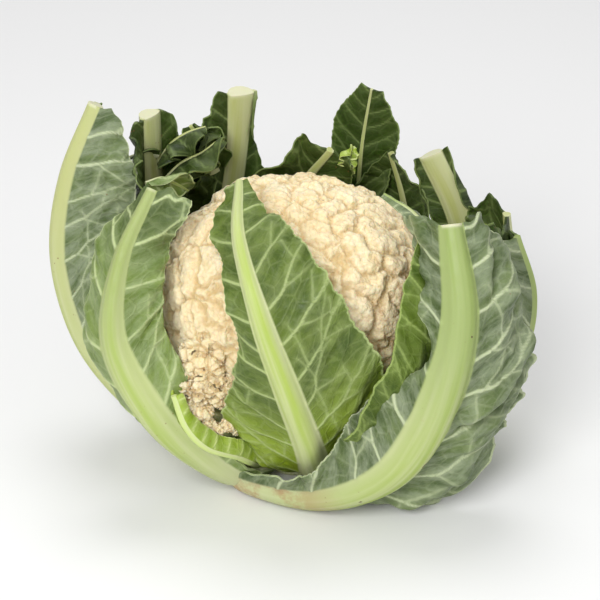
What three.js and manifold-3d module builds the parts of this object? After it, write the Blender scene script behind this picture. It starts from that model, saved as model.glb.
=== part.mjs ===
// A cauliflower: a domed white curd on a short cut stalk, with two small florets hanging loose
// from its lower front, held in a ring of trimmed leaves. Every leaf is one solid: a blade with a
// thick midrib on its outer face. Millimetres, +Z up. The origin is the centre of the stalk's cut
// face, on which the cauliflower stands, and the viewer's side, the front, is -Y.

import * as THREE from 'three';
import { mergeVertices } from 'three/addons/utils/BufferGeometryUtils.js';
import Module from 'manifold-3d';

// ---------------------------------------------------------------- driving dimensions

const CURD_CENTRE = new THREE.Vector3(-3, 0, 104);
const CURD_RADII = new THREE.Vector3(75, 72, 62);  // half width, half depth, half height
const CURD_POWER = 2.35;                           // 2 is an ellipsoid, more is squarer
const CURD_DETAIL = 7;                             // edge divisions of the icosahedron
const DOME_LOBES = 64;                             // lobes over the whole ball
const LOBE_DEPTH = 5;                              // how deep the valleys between lobes go
const DOME_FOOT = -0.35;                           // below this the lobes fade out
const DOME_FADE = 0.25;                            // over this much of the ball's radius

const STALK_RADIUS = 24;
const STALK_HEIGHT = 52;
const STALK_SIDES = 20;
const STALK_EDGE = 1;                              // bevel round the cut face
const STALK_TAPER = 4;                             // how much the radius loses towards the top

const FLORET_DETAIL = 3;
const FLORET_LOBES = 26;
const FLORET_NECK = 6;                             // radius of a loose floret's own stem
const FLORET_NECK_TOP = 0.6;                       // the stem's radius at the head, in head radii
const FLORET_NECK_SIDES = 12;
const FLORET_LOBE_DEPTH = 0.12;                    // valleys between lobes, in head radii
const LOBE_OVERLAP = 1.15;                         // lobes' half width against their fair share

const LEAF_ROWS = 11;                              // rows of points from base to tip
const BLADE_STEPS = 3;                             // points across each half of the blade
const RIB_STEPS = 2;                               // points across each half of the midrib
const BLADE_THICKNESS = 2;
const RIB_HEIGHT = 0.9;                            // rise of the midrib against its half width
const RIB_INSIDE = 0.25;                           // the share of that rise on the inner face
const RUFFLE_POWER = 1.6;                          // ruffles grow towards the blade's edge
const RUFFLE_OFFSET = 1.3;                         // phase between a leaf's two halves, in radians
const RUFFLE_FROM = 0.25;                          // share of the length over which they set in
const LEAST_WIDTH = 0.6;                           // of each half of a blade
const PUSH_SOFTNESS = 0.002;                       // rounds the bend where a blade meets its gap
const FLOOR_CLEARANCE = 3;                         // no leaf reaches lower than this

const GAP = 0.3;                                   // clearance kept where two pieces meet
const CLEAN_UP = 0.05;                             // slivers smaller than this are merged

const GOLDEN_ANGLE = Math.PI * (3 - Math.sqrt(5));

const COLOURS = {
  curd: [0xf1dfb8, 0.75],
  stalk: [0xd9dfa8, 0.6],
  leaf: [0x7f9a58, 0.6],
  inner_leaf: [0x8fae4e, 0.55],
};

// A loose floret: its centre, its radius and the point on the stalk from which it grows.
const FLORETS = {
  lower_floret_left: { centre: [-48, -57, 79], radius: 21, root: [-12, -22, 30] },
  lower_floret_front: { centre: [-43, -58, 61], radius: 11, root: [-2, -26, 32] },
};

// A leaf's route is its midrib from base to tip, as [azimuth, latitude, standoff]: degrees about
// the curd's centre, azimuth from the front round by the right, and millimetres off the curd.
// The other lists are spread evenly over the leaf's length. rib is the midrib's full width; each
// half of the blade has its width, its lean towards the curd where it leaves the midrib and its
// further curl, in degrees; roll turns the whole leaf about its midrib, sweep leans the blade
// towards the tip. gap is the least standoff from the curd, ruffle is [height, waves, phase].
const LEAVES = {
  leaf_front: {
    slot: 'inner_leaf',
    route: [[28, -82, 32], [14, -61, 30], [5, -35, 13], [-3, -6, 10], [-12, 21, 15], [-28, 46, 16],
      [-68, 67, 15]],
    rib: [18, 17, 15, 14, 13, 11, 8, 6, 3], gap: 2, ruffle: [1.5, 5, 0],
    left: { width: [4, 24, 38, 34, 20, 12, 11, 15, 10], lean: [4], curl: [30] },
    right: { width: [4, 22, 40, 46, 42, 36, 30, 15, 2], lean: [4], curl: [30] },
  },
  leaf_lower_left: {
    slot: 'inner_leaf',
    route: [[-24, -80, 16], [-31, -69, 32], [-28, -45, 23], [-34, -33, 25], [-39, -24, 23],
      [-43, -14, 18]],
    rib: [7, 6, 5, 4, 3], gap: 1.5, ruffle: [1.2, 3, 0],
    left: { width: [3, 8, 8, 10, 12, 9, 3], lean: [10], curl: [20] },
    right: { width: [3, 10, 8, 9, 8, 7, 3], lean: [45], curl: [60] },
  },
  leaf_right_inner: {
    slot: 'inner_leaf',
    route: [[54, -80, 23], [36, -70, 41], [42, -51, 27], [48, -30, 19], [52, -8, 17], [57, 13, 17],
      [66, 33, 19]],
    rib: [12, 11, 9, 7, 5], gap: 4.5, ruffle: [1, 3, 2],
    left: { width: [4, 18, 34, 38, 32, 24, 6], lean: [5], curl: [28] },
    right: { width: [2, 18, 34, 40, 36, 24, 6], lean: [5], curl: [25] },
  },
  leaf_back_low: {
    slot: 'leaf',
    route: [[178, -81, 12], [184, -66, 34], [183, -47, 23], [182, -26, 10], [180, -2, 5],
      [176, 23, 4], [162, 42, 14]],
    rib: [12, 8, 4], gap: 3, ruffle: [4, 4, 0],
    left: { width: [1, 14, 26, 32, 32, 26, 14], lean: [5], curl: [30] },
    right: { width: [1, 14, 26, 32, 34, 28, 16], lean: [5], curl: [30] },
  },
  leaf_back_pointed: {
    slot: 'leaf',
    route: [[143, -80, 19], [142, -64, 38], [138, -47, 36], [137, -28, 27], [138, -9, 24],
      [141, 11, 23], [143, 29, 27]],
    rib: [10, 7, 3], gap: 3, ruffle: [2, 3, 0],
    left: { width: [1, 14, 26, 30, 28, 20, 1], lean: [5], curl: [30] },
    right: { width: [1, 14, 28, 34, 36, 28, 1], lean: [5], curl: [30] },
  },
  leaf_back_round: {
    slot: 'leaf',
    route: [[164, -82, 29], [159, -61, 37], [157, -41, 26], [158, -18, 17], [157, 5, 17],
      [156, 27, 31], [152, 43, 53]],
    rib: [12, 8, 4, 2.4, 2], gap: 8, ruffle: [1, 2, 0],
    left: { width: [1, 12, 22, 22, 16, 13, 20, 21, 7], lean: [5], curl: [15] },
    right: { width: [1, 12, 22, 20, 12, 9, 15, 17, 6], lean: [5], curl: [15] },
  },
  leaf_back_left: {
    slot: 'leaf',
    route: [[-164, -83, 24], [-157, -62, 36], [-154, -40, 24], [-154, -17, 16], [-155, 7, 14],
      [-157, 30, 24], [-158, 47, 47]],
    rib: [19, 19, 18, 16, 13, 12, 12, 15], gap: 8, ruffle: [3, 3, 1],
    left: { width: [1, 12, 24, 30, 26, 15, 4, 1], lean: [5], curl: [30] },
    right: { width: [1, 12, 24, 28, 28, 28, 22, 6], lean: [5], curl: [30] },
  },
  leaf_left_crumpled: {
    slot: 'leaf',
    route: [[-127, -83, 17], [-127, -64, 36], [-125, -42, 27], [-125, -20, 19], [-125, 3, 19],
      [-126, 23, 30], [-125, 40, 53]],
    rib: [16, 15, 14, 14, 13], gap: 5, ruffle: [6, 5, 1], sweep: [20, 20, 20, 15, 0, -15],
    left: { width: [1, 12, 24, 32, 34, 34, 28, 8], lean: [15], curl: [40] },
    right: { width: [1, 16, 32, 42, 50, 54, 34], lean: [15], curl: [50] },
  },
  leaf_back_right: {
    slot: 'leaf',
    route: [[122, -81, 27], [119, -63, 44], [117, -45, 43], [116, -26, 40], [118, -8, 37],
      [122, 10, 33], [130, 28, 36]],
    rib: [16, 16, 16, 15, 13], gap: 4, ruffle: [3, 3, 2], roll: [0, 0, 10, 25, 40, 45],
    left: { width: [1, 12, 24, 26, 18, 7, 4, 3], lean: [20], curl: [40] },
    right: { width: [1, 12, 24, 30, 28, 16, 9, 6], lean: [20], curl: [40] },
  },
  leaf_right_curled: {
    slot: 'leaf',
    route: [[98, -80, 21], [104, -65, 41], [104, -49, 46], [103, -33, 48], [104, -18, 49],
      [105, -2, 48], [105, 15, 48]],
    rib: [12, 8, 5], gap: 9, ruffle: [4, 4, 2],
    left: { width: [1, 10, 22, 30, 32, 32, 24], lean: [25], curl: [40] },
    right: { width: [1, 10, 20, 26, 28, 28, 22], lean: [25], curl: [40] },
  },
  leaf_right: {
    slot: 'leaf',
    route: [[74, -81, 31], [83, -64, 43], [87, -47, 45], [89, -32, 49], [92, -17, 56], [95, -3, 56],
      [98, 12, 49]],
    rib: [14, 12, 9, 6, 4], gap: 14, ruffle: [3, 3, 1], roll: [0, -10, -20, -20, -20, -20],
    left: { width: [1, 8, 22, 32, 36, 34, 26, 8], lean: [20], curl: [40] },
    right: { width: [1, 8, 20, 28, 30, 28, 22, 8], lean: [30], curl: [40] },
  },
  leaf_left: {
    slot: 'leaf',
    route: [[-53, -84, 28], [-42, -66, 37], [-46, -42, 27], [-52, -20, 26], [-61, 1, 31],
      [-68, 22, 29], [-79, 43, 32]],
    rib: [20, 22, 22, 20, 17, 12, 8, 6], gap: 5, ruffle: [1.5, 4, 0.5],
    roll: [0, 5, 15, 25, 35, 40, 40, 35, 30],
    left: {
      width: [1, 2, 10, 18, 24, 26, 24, 16, 6], lean: [0, 0, 10, 10, 10, 10, 10, 10, 10],
      curl: [10, 10, 20, 60, 70, 70, 50, 30, 20],
    },
    right: {
      width: [1, 3, 6, 10, 24, 28, 25, 22, 18], lean: [5, 5, 10, 20, 25, 25, 25, 25, 20],
      curl: [20, 20, 25, 30, 35, 35, 35, 30, 30],
    },
  },
  leaf_far_left: {
    slot: 'leaf',
    route: [[-83, -85, 32], [-86, -60, 40], [-88, -36, 36], [-92, -15, 43], [-98, 5, 53],
      [-104, 23, 61], [-112, 39, 74]],
    rib: [18, 20, 20, 18, 17, 16, 14, 12], gap: 12, ruffle: [3, 3, 2],
    roll: [10, 10, 15, 20, 20, 20, 20, 20, 20],
    left: { width: [1, 12, 26, 32, 32, 28, 24, 16, 6], lean: [20], curl: [30] },
    right: {
      width: [1, 6, 20, 34, 42, 44, 44, 34, 6], lean: [25, 25, 25, 30, 30, 30, 35, 35, 35],
      curl: [40, 40, 40, 45, 45, 50, 60, 60, 60],
    },
  },
  leaf_front_right: {
    slot: 'leaf',
    route: [[-39, -84, 33], [-41, -65, 39], [13, -56, 41], [35, -36, 37], [44, -12, 32],
      [51, 12, 34], [60, 36, 40]],
    rib: [18, 20, 22, 23, 23, 22, 19, 16, 11], gap: 9, ruffle: [3, 4, 1],
    roll: [0, -5, -10, -15, -22, -30, -36, -40, -40], sweep: [25, 25, 20, 12, 8, 12, 20, 25, 25],
    left: {
      width: [1, 4, 10, 20, 28, 20, 4, 24, 30], lean: [10, 10, 10, 20, 30, 40, 45, 45, 45],
      curl: [20],
    },
    right: {
      width: [1, 4, 16, 34, 50, 55, 54, 40, 8], lean: [-20, -20, -25, -30, -25, -12, 0, 0, 0],
      curl: [30, 30, 35, 45, 55, 65, 70, 75, 75],
    },
  },
};

const USUAL_SWEEP = [20];
const USUAL_ROLL = [0];

// ---------------------------------------------------------------- small helpers

const wasm = await Module();
wasm.setup();

const radians = THREE.MathUtils.degToRad;

/** The value at share u of a list spread evenly over a length, on a smooth curve. */
function along(list, u) {
  if (list.length === 1) return list[0];
  const x = u * (list.length - 1);
  const i = Math.min(Math.floor(x), list.length - 2);
  const t = x - i;
  const b = list[i];
  const c = list[i + 1];
  const a = i > 0 ? list[i - 1] : 2 * b - c;
  const d = i + 2 < list.length ? list[i + 2] : 2 * c - b;
  const bend = (2 * a - 5 * b + 4 * c - d) * t * t;
  const twist = (3 * b - a - 3 * c + d) * t ** 3;
  return 0.5 * (2 * b + (c - a) * t + bend + twist);
}

/** 1 on the surface that stands off the curd's smooth outline, less inside it, more outside. */
function levelAt(point, standoff) {
  const x = Math.abs(point.x - CURD_CENTRE.x) / (CURD_RADII.x + standoff);
  const y = Math.abs(point.y - CURD_CENTRE.y) / (CURD_RADII.y + standoff);
  const z = Math.abs(point.z - CURD_CENTRE.z) / (CURD_RADII.z + standoff);
  return (x ** CURD_POWER + y ** CURD_POWER + z ** CURD_POWER) ** (1 / CURD_POWER);
}

/** The point at an azimuth and a latitude about the curd's centre, off the curd's outline. */
function placeAt([azimuth, latitude, standoff]) {
  const a = radians(azimuth);
  const b = radians(latitude);
  const way = new THREE.Vector3(Math.sin(a) * Math.cos(b), -Math.cos(a) * Math.cos(b), Math.sin(b));
  const reach = 1 / levelAt(CURD_CENTRE.clone().add(way), 0);
  return CURD_CENTRE.clone().addScaledVector(way, reach + standoff);
}

/** Directions spread evenly over a ball, on a golden spiral from the top down. */
function spiral(count) {
  return Array.from({ length: count }, (_, i) => {
    const z = 1 - (2 * i + 1) / count;
    const r = Math.sqrt(1 - z * z);
    return new THREE.Vector3(r * Math.cos(i * GOLDEN_ANGLE), r * Math.sin(i * GOLDEN_ANGLE), z);
  });
}

/** A geometry of positions only, from points and triangles. */
function geometryOf(points, triangles) {
  const geometry = new THREE.BufferGeometry();
  geometry.setAttribute('position', new THREE.Float32BufferAttribute(points, 3));
  geometry.setIndex(triangles);
  return geometry;
}

/** A three.js geometry as a manifold-3d solid, turned right side out. */
function toSolid(geometry) {
  const bare = geometry.clone();
  bare.deleteAttribute('normal');
  bare.deleteAttribute('uv');
  const merged = mergeVertices(bare);
  const vertProperties = Float32Array.from(merged.attributes.position.array);
  const triVerts = Uint32Array.from(merged.index.array);
  return new wasm.Manifold(new wasm.Mesh({ numProp: 3, vertProperties, triVerts }));
}

/** The largest piece that is left of a solid, as a geometry. */
function toGeometry(solid) {
  const pieces = solid.simplify(CLEAN_UP).decompose().sort((p, q) => q.volume() - p.volume());
  const mesh = pieces[0].getMesh();
  return geometryOf(mesh.vertProperties, Array.from(mesh.triVerts));
}

// ---------------------------------------------------------------- curd, florets, stalk

/** How far a lobed surface lies below its outline in a direction: 0 on a lobe, 1 in a valley. */
function valley(way, lobes) {
  const halfWidth = Math.acos(1 - 2 / lobes.length) * LOBE_OVERLAP;
  const nearest = Math.min(...lobes.map((lobe) => lobe.angleTo(way)));
  return 1 - Math.sqrt(Math.max(0, 1 - (nearest / halfWidth) ** 2));
}

function curdGeometry(standoff) {
  const ball = mergeVertices(new THREE.IcosahedronGeometry(1, CURD_DETAIL).deleteAttribute('normal')
    .deleteAttribute('uv'));
  const lobes = spiral(DOME_LOBES);
  const position = ball.attributes.position;
  for (let i = 0; i < position.count; i += 1) {
    const way = new THREE.Vector3().fromBufferAttribute(position, i).normalize();
    const dome = THREE.MathUtils.smoothstep(way.z, DOME_FOOT - DOME_FADE, DOME_FOOT);
    const reach = 1 / levelAt(CURD_CENTRE.clone().add(way), 0);
    const drop = LOBE_DEPTH * valley(way, lobes) * dome;
    const point = CURD_CENTRE.clone().addScaledVector(way, reach - drop + standoff);
    position.setXYZ(i, point.x, point.y, point.z);
  }
  return ball;
}

function stalkGeometry(standoff) {
  const profile = [
    new THREE.Vector2(0, -standoff),
    new THREE.Vector2(STALK_RADIUS - STALK_EDGE + standoff, -standoff),
    new THREE.Vector2(STALK_RADIUS + standoff, STALK_EDGE),
    new THREE.Vector2(STALK_RADIUS + standoff, STALK_HEIGHT * 0.5),
    new THREE.Vector2(STALK_RADIUS - STALK_TAPER + standoff, STALK_HEIGHT + standoff),
    new THREE.Vector2(0, STALK_HEIGHT + standoff),
  ];
  const lathe = new THREE.LatheGeometry(profile, STALK_SIDES);
  return lathe.rotateX(Math.PI / 2);
}

function floretGeometry({ centre, radius, root }, standoff) {
  const ball = mergeVertices(new THREE.IcosahedronGeometry(1, FLORET_DETAIL)
    .deleteAttribute('normal').deleteAttribute('uv'));
  const lobes = spiral(FLORET_LOBES);
  const middle = new THREE.Vector3(...centre);
  const position = ball.attributes.position;
  for (let i = 0; i < position.count; i += 1) {
    const way = new THREE.Vector3().fromBufferAttribute(position, i).normalize();
    const reach = radius * (1 - FLORET_LOBE_DEPTH * valley(way, lobes)) + standoff;
    const point = middle.clone().addScaledVector(way, reach);
    position.setXYZ(i, point.x, point.y, point.z);
  }
  const stem = new THREE.Vector3().subVectors(middle, new THREE.Vector3(...root));
  const neck = new THREE.CylinderGeometry(
    radius * FLORET_NECK_TOP,
    FLORET_NECK + standoff,
    stem.length(),
    FLORET_NECK_SIDES,
  );
  const upright = new THREE.Vector3(0, 1, 0);
  neck.applyQuaternion(new THREE.Quaternion().setFromUnitVectors(upright, stem.clone().normalize()));
  neck.translate(...middle.clone().addScaledVector(stem, -0.5).toArray());
  return [ball, neck];
}

// ---------------------------------------------------------------- leaves

/** The frame of axes at each row of a leaf: where its midrib is, and its three directions. */
function leafFrames(leaf) {
  const curve = new THREE.CatmullRomCurve3(leaf.route.map(placeAt), false, 'catmullrom', 0.5);
  const points = curve.getSpacedPoints(LEAF_ROWS - 1);
  return points.map((point, row) => {
    const u = row / (LEAF_ROWS - 1);
    const before = points[Math.max(0, row - 1)];
    const after = points[Math.min(LEAF_ROWS - 1, row + 1)];
    const tangent = after.clone().sub(before).normalize();
    const outward = point.clone().sub(CURD_CENTRE);
    outward.addScaledVector(tangent, -outward.dot(tangent)).normalize();
    const roll = radians(along(leaf.roll ?? USUAL_ROLL, u));
    outward.applyAxisAngle(tangent, roll);
    const side = tangent.clone().cross(outward);
    return { u, point, tangent, outward, side };
  });
}

/** One half of a row of a leaf's middle surface, from the midrib's edge to the blade's edge. */
function halfRow(leaf, frame, half, sign, grow) {
  const { u, point, tangent, outward, side } = frame;
  const ribEdge = along(leaf.rib, u) / 2;
  const width = Math.max(along(half.width, u), LEAST_WIDTH) + grow;
  const lean = radians(along(half.lean, u));
  const curl = radians(along(half.curl, u)) || 0.001;
  const sweep = radians(along(leaf.sweep ?? USUAL_SWEEP, u));
  const swept = side.clone().multiplyScalar(sign * Math.cos(sweep));
  swept.addScaledVector(tangent, Math.sin(sweep));
  const row = [];
  for (let i = 1; i <= RIB_STEPS; i += 1) {
    row.push(point.clone().addScaledVector(side, (sign * ribEdge * i) / RIB_STEPS));
  }
  const edge = row[RIB_STEPS - 1];
  for (let i = 1; i <= BLADE_STEPS; i += 1) {
    const turn = (curl * i) / BLADE_STEPS;
    const across = ((Math.sin(lean + turn) - Math.sin(lean)) / curl) * width;
    const inward = ((Math.cos(lean + turn) - Math.cos(lean)) / curl) * width;
    row.push(edge.clone().addScaledVector(swept, across).addScaledVector(outward, inward));
  }
  return row;
}

/** The unit normals of a grid of points, facing out. */
function gridNormals(grid) {
  const rows = grid.length;
  const columns = grid[0].length;
  return grid.map((row, i) => row.map((_, j) => {
    const down = grid[Math.min(rows - 1, i + 1)][j].clone().sub(grid[Math.max(0, i - 1)][j]);
    const across = row[Math.min(columns - 1, j + 1)].clone().sub(row[Math.max(0, j - 1)]);
    return across.cross(down).normalize();
  }));
}

/** Waves along the blade's edge, and then the blade pushed clear of the curd and the floor. */
function settle(leaf, grid) {
  const middle = BLADE_STEPS + RIB_STEPS;
  const [height, waves, phase] = leaf.ruffle;
  gridNormals(grid).forEach((row, i) => row.forEach((normal, j) => {
    const u = i / (LEAF_ROWS - 1);
    const t = Math.max(0, (Math.abs(j - middle) - RIB_STEPS) / BLADE_STEPS);
    const turn = 2 * Math.PI * waves * u + phase + RUFFLE_OFFSET * Math.sign(j - middle);
    const rise = height * t ** RUFFLE_POWER * Math.min(1, u / RUFFLE_FROM);
    grid[i][j].addScaledVector(normal, rise * Math.sin(turn));
  }));
  grid.flat().forEach((point) => {
    const level = levelAt(point, leaf.gap);
    const pushed = 0.5 * (level + 1 + Math.sqrt((level - 1) ** 2 + PUSH_SOFTNESS));
    point.sub(CURD_CENTRE).multiplyScalar(pushed / level).add(CURD_CENTRE);
  });
}

/** A leaf's closed skin: outer face, inner face and the strip round its edge. */
function leafGeometry(leaf, grow) {
  const middle = BLADE_STEPS + RIB_STEPS;
  const columns = 2 * middle + 1;
  const frames = leafFrames(leaf);
  frames[0].point.addScaledVector(frames[0].tangent, -grow);
  frames[LEAF_ROWS - 1].point.addScaledVector(frames[LEAF_ROWS - 1].tangent, grow);
  const grid = frames.map((frame) => [
    ...halfRow(leaf, frame, leaf.left, -1, grow).reverse(),
    frame.point,
    ...halfRow(leaf, frame, leaf.right, 1, grow),
  ]);
  settle(leaf, grid);
  const normals = gridNormals(grid);
  const faces = [1, -1].map((face) => grid.map((row, i) => row.map((point, j) => {
    const share = Math.min(1, Math.abs(j - middle) / RIB_STEPS);
    const bulge = Math.sqrt(1 - share * share) * (along(leaf.rib, frames[i].u) / 2) * RIB_HEIGHT;
    const rise = BLADE_THICKNESS / 2 + grow + bulge * (face > 0 ? 1 : RIB_INSIDE);
    const floor = FLOOR_CLEARANCE - grow - face * (BLADE_THICKNESS / 4 + grow / 2);
    const lifted = point.clone().addScaledVector(normals[i][j], face * rise);
    lifted.z = Math.max(lifted.z, floor);
    return lifted;
  })));
  const points = faces.flat(2).flatMap((point) => point.toArray());
  const corner = (face, i, j) => face * LEAF_ROWS * columns + i * columns + j;
  const triangles = [];
  const quad = (a, b, c, d) => triangles.push(a, c, b, a, d, c);
  for (let i = 0; i < LEAF_ROWS - 1; i += 1) {
    for (let j = 0; j < columns - 1; j += 1) {
      quad(corner(0, i, j), corner(0, i + 1, j), corner(0, i + 1, j + 1), corner(0, i, j + 1));
      quad(corner(1, i, j), corner(1, i, j + 1), corner(1, i + 1, j + 1), corner(1, i + 1, j));
    }
    quad(corner(0, i, 0), corner(1, i, 0), corner(1, i + 1, 0), corner(0, i + 1, 0));
    const last = columns - 1;
    quad(corner(0, i, last), corner(0, i + 1, last), corner(1, i + 1, last), corner(1, i, last));
  }
  for (let j = 0; j < columns - 1; j += 1) {
    const last = LEAF_ROWS - 1;
    quad(corner(0, 0, j), corner(0, 0, j + 1), corner(1, 0, j + 1), corner(1, 0, j));
    quad(corner(0, last, j), corner(1, last, j), corner(1, last, j + 1), corner(0, last, j + 1));
  }
  return geometryOf(points, triangles);
}

// ---------------------------------------------------------------- assembly

const cauliflower = new THREE.Group();
const taken = [];

/** Adds a piece, cut back from every piece before it, and keeps its grown copy as a cutter. */
function addPiece(name, slot, solid, cutter) {
  const cut = taken.reduce((left, other) => left.subtract(other), solid);
  const [color, roughness] = COLOURS[slot];
  const material = new THREE.MeshStandardMaterial({ color, roughness, metalness: 0 });
  const mesh = new THREE.Mesh(toGeometry(cut), material);
  mesh.name = name;
  cauliflower.add(mesh);
  taken.push(cutter.add(solid));
}

addPiece('stalk', 'stalk', toSolid(stalkGeometry(0)), toSolid(stalkGeometry(GAP)));
addPiece('curd', 'curd', toSolid(curdGeometry(0)), toSolid(curdGeometry(GAP)));
for (const [name, floret] of Object.entries(FLORETS)) {
  const [solid, cutter] = [0, GAP].map((standoff) => {
    const [ball, neck] = floretGeometry(floret, standoff).map(toSolid);
    return ball.add(neck);
  });
  addPiece(name, 'curd', solid, cutter);
}
for (const [name, leaf] of Object.entries(LEAVES)) {
  addPiece(name, leaf.slot, toSolid(leafGeometry(leaf, 0)), toSolid(leafGeometry(leaf, GAP)));
}

export default cauliflower;
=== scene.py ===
import math

import bpy
import numpy as np
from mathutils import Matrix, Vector
from mathutils.kdtree import KDTree


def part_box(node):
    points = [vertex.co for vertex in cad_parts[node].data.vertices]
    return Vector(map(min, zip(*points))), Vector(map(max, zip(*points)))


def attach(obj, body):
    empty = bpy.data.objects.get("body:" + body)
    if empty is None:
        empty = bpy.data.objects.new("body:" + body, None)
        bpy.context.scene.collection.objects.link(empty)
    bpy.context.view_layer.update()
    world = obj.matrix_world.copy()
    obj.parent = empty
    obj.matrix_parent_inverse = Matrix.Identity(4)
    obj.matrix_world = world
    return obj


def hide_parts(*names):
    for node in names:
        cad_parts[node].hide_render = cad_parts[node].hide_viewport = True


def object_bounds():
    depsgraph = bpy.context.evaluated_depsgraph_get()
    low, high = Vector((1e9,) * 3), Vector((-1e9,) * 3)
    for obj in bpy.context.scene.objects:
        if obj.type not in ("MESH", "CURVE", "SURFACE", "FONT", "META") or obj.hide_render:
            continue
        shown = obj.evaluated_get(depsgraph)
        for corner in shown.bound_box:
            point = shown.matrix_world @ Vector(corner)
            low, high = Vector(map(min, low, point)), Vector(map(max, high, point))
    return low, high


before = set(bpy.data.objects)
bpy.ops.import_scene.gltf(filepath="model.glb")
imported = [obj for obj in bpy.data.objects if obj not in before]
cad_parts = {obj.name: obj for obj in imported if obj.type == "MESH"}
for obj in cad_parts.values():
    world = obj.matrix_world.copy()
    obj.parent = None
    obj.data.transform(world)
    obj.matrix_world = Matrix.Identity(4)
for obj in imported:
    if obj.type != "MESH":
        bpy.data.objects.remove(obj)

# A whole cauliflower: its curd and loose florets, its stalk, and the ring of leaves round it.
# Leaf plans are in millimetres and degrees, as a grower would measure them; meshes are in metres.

bl_info = {
    "name": "Cauliflower",
    "version": (1, 0, 0),
    "blender": (4, 5, 0),
    "location": "View3D > Sidebar > Cauliflower",
    "description": "Grows a cauliflower on its frame: curd, florets, stalk and leaves",
    "category": "Add Mesh",
}

CAD_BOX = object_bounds()
MM = 0.001
BROWNED_PATCH = (0.052, -0.045, 0.118)  # where the curd was rubbed and browned

CURD_LOW, CURD_HIGH = (np.array(corner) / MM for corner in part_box("curd"))
CURD_CENTRE = (CURD_LOW + CURD_HIGH) / 2
CURD_RADII = (CURD_HIGH - CURD_LOW) / 2
CURD_POWER = 2.35                       # 2 is an ellipsoid, more is squarer
STALK_LOW, STALK_HIGH = (np.array(corner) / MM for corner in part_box("stalk"))
STALK_RADIUS = (STALK_HIGH[0] - STALK_LOW[0]) / 2
FLOOR_CLEARANCE = 2.5                   # least height of a leaf over the floor

RIB_COLUMNS = 9                         # columns across each half of a midrib
POINT_SPACING = 1.3                     # distance between points along and across a blade
VEIN_STEP = 0.8                         # distance between points along a side vein
USUAL_SWEEP = 20                        # what a leaf plan has when it names none
USUAL_ROLL = 0
USUAL_FORKS = 2
PUSH_SOFTNESS = 0.002                   # how gently a leaf is pushed clear of the curd
VEIN_REACH = 12                         # the farthest from a side vein that is told apart
FLOOR_HALF = 6000                       # from the floor's middle to its edges
CURD_POINTS = 124                       # points along a quarter of the curd

# ------------------------------------------------------------------ leaf plans


def blade_half(width, lean=5, curl=30):
    """One half of a blade, with the lean and the curl that most halves have."""
    return dict(width=width, lean=lean, curl=curl)


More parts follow.
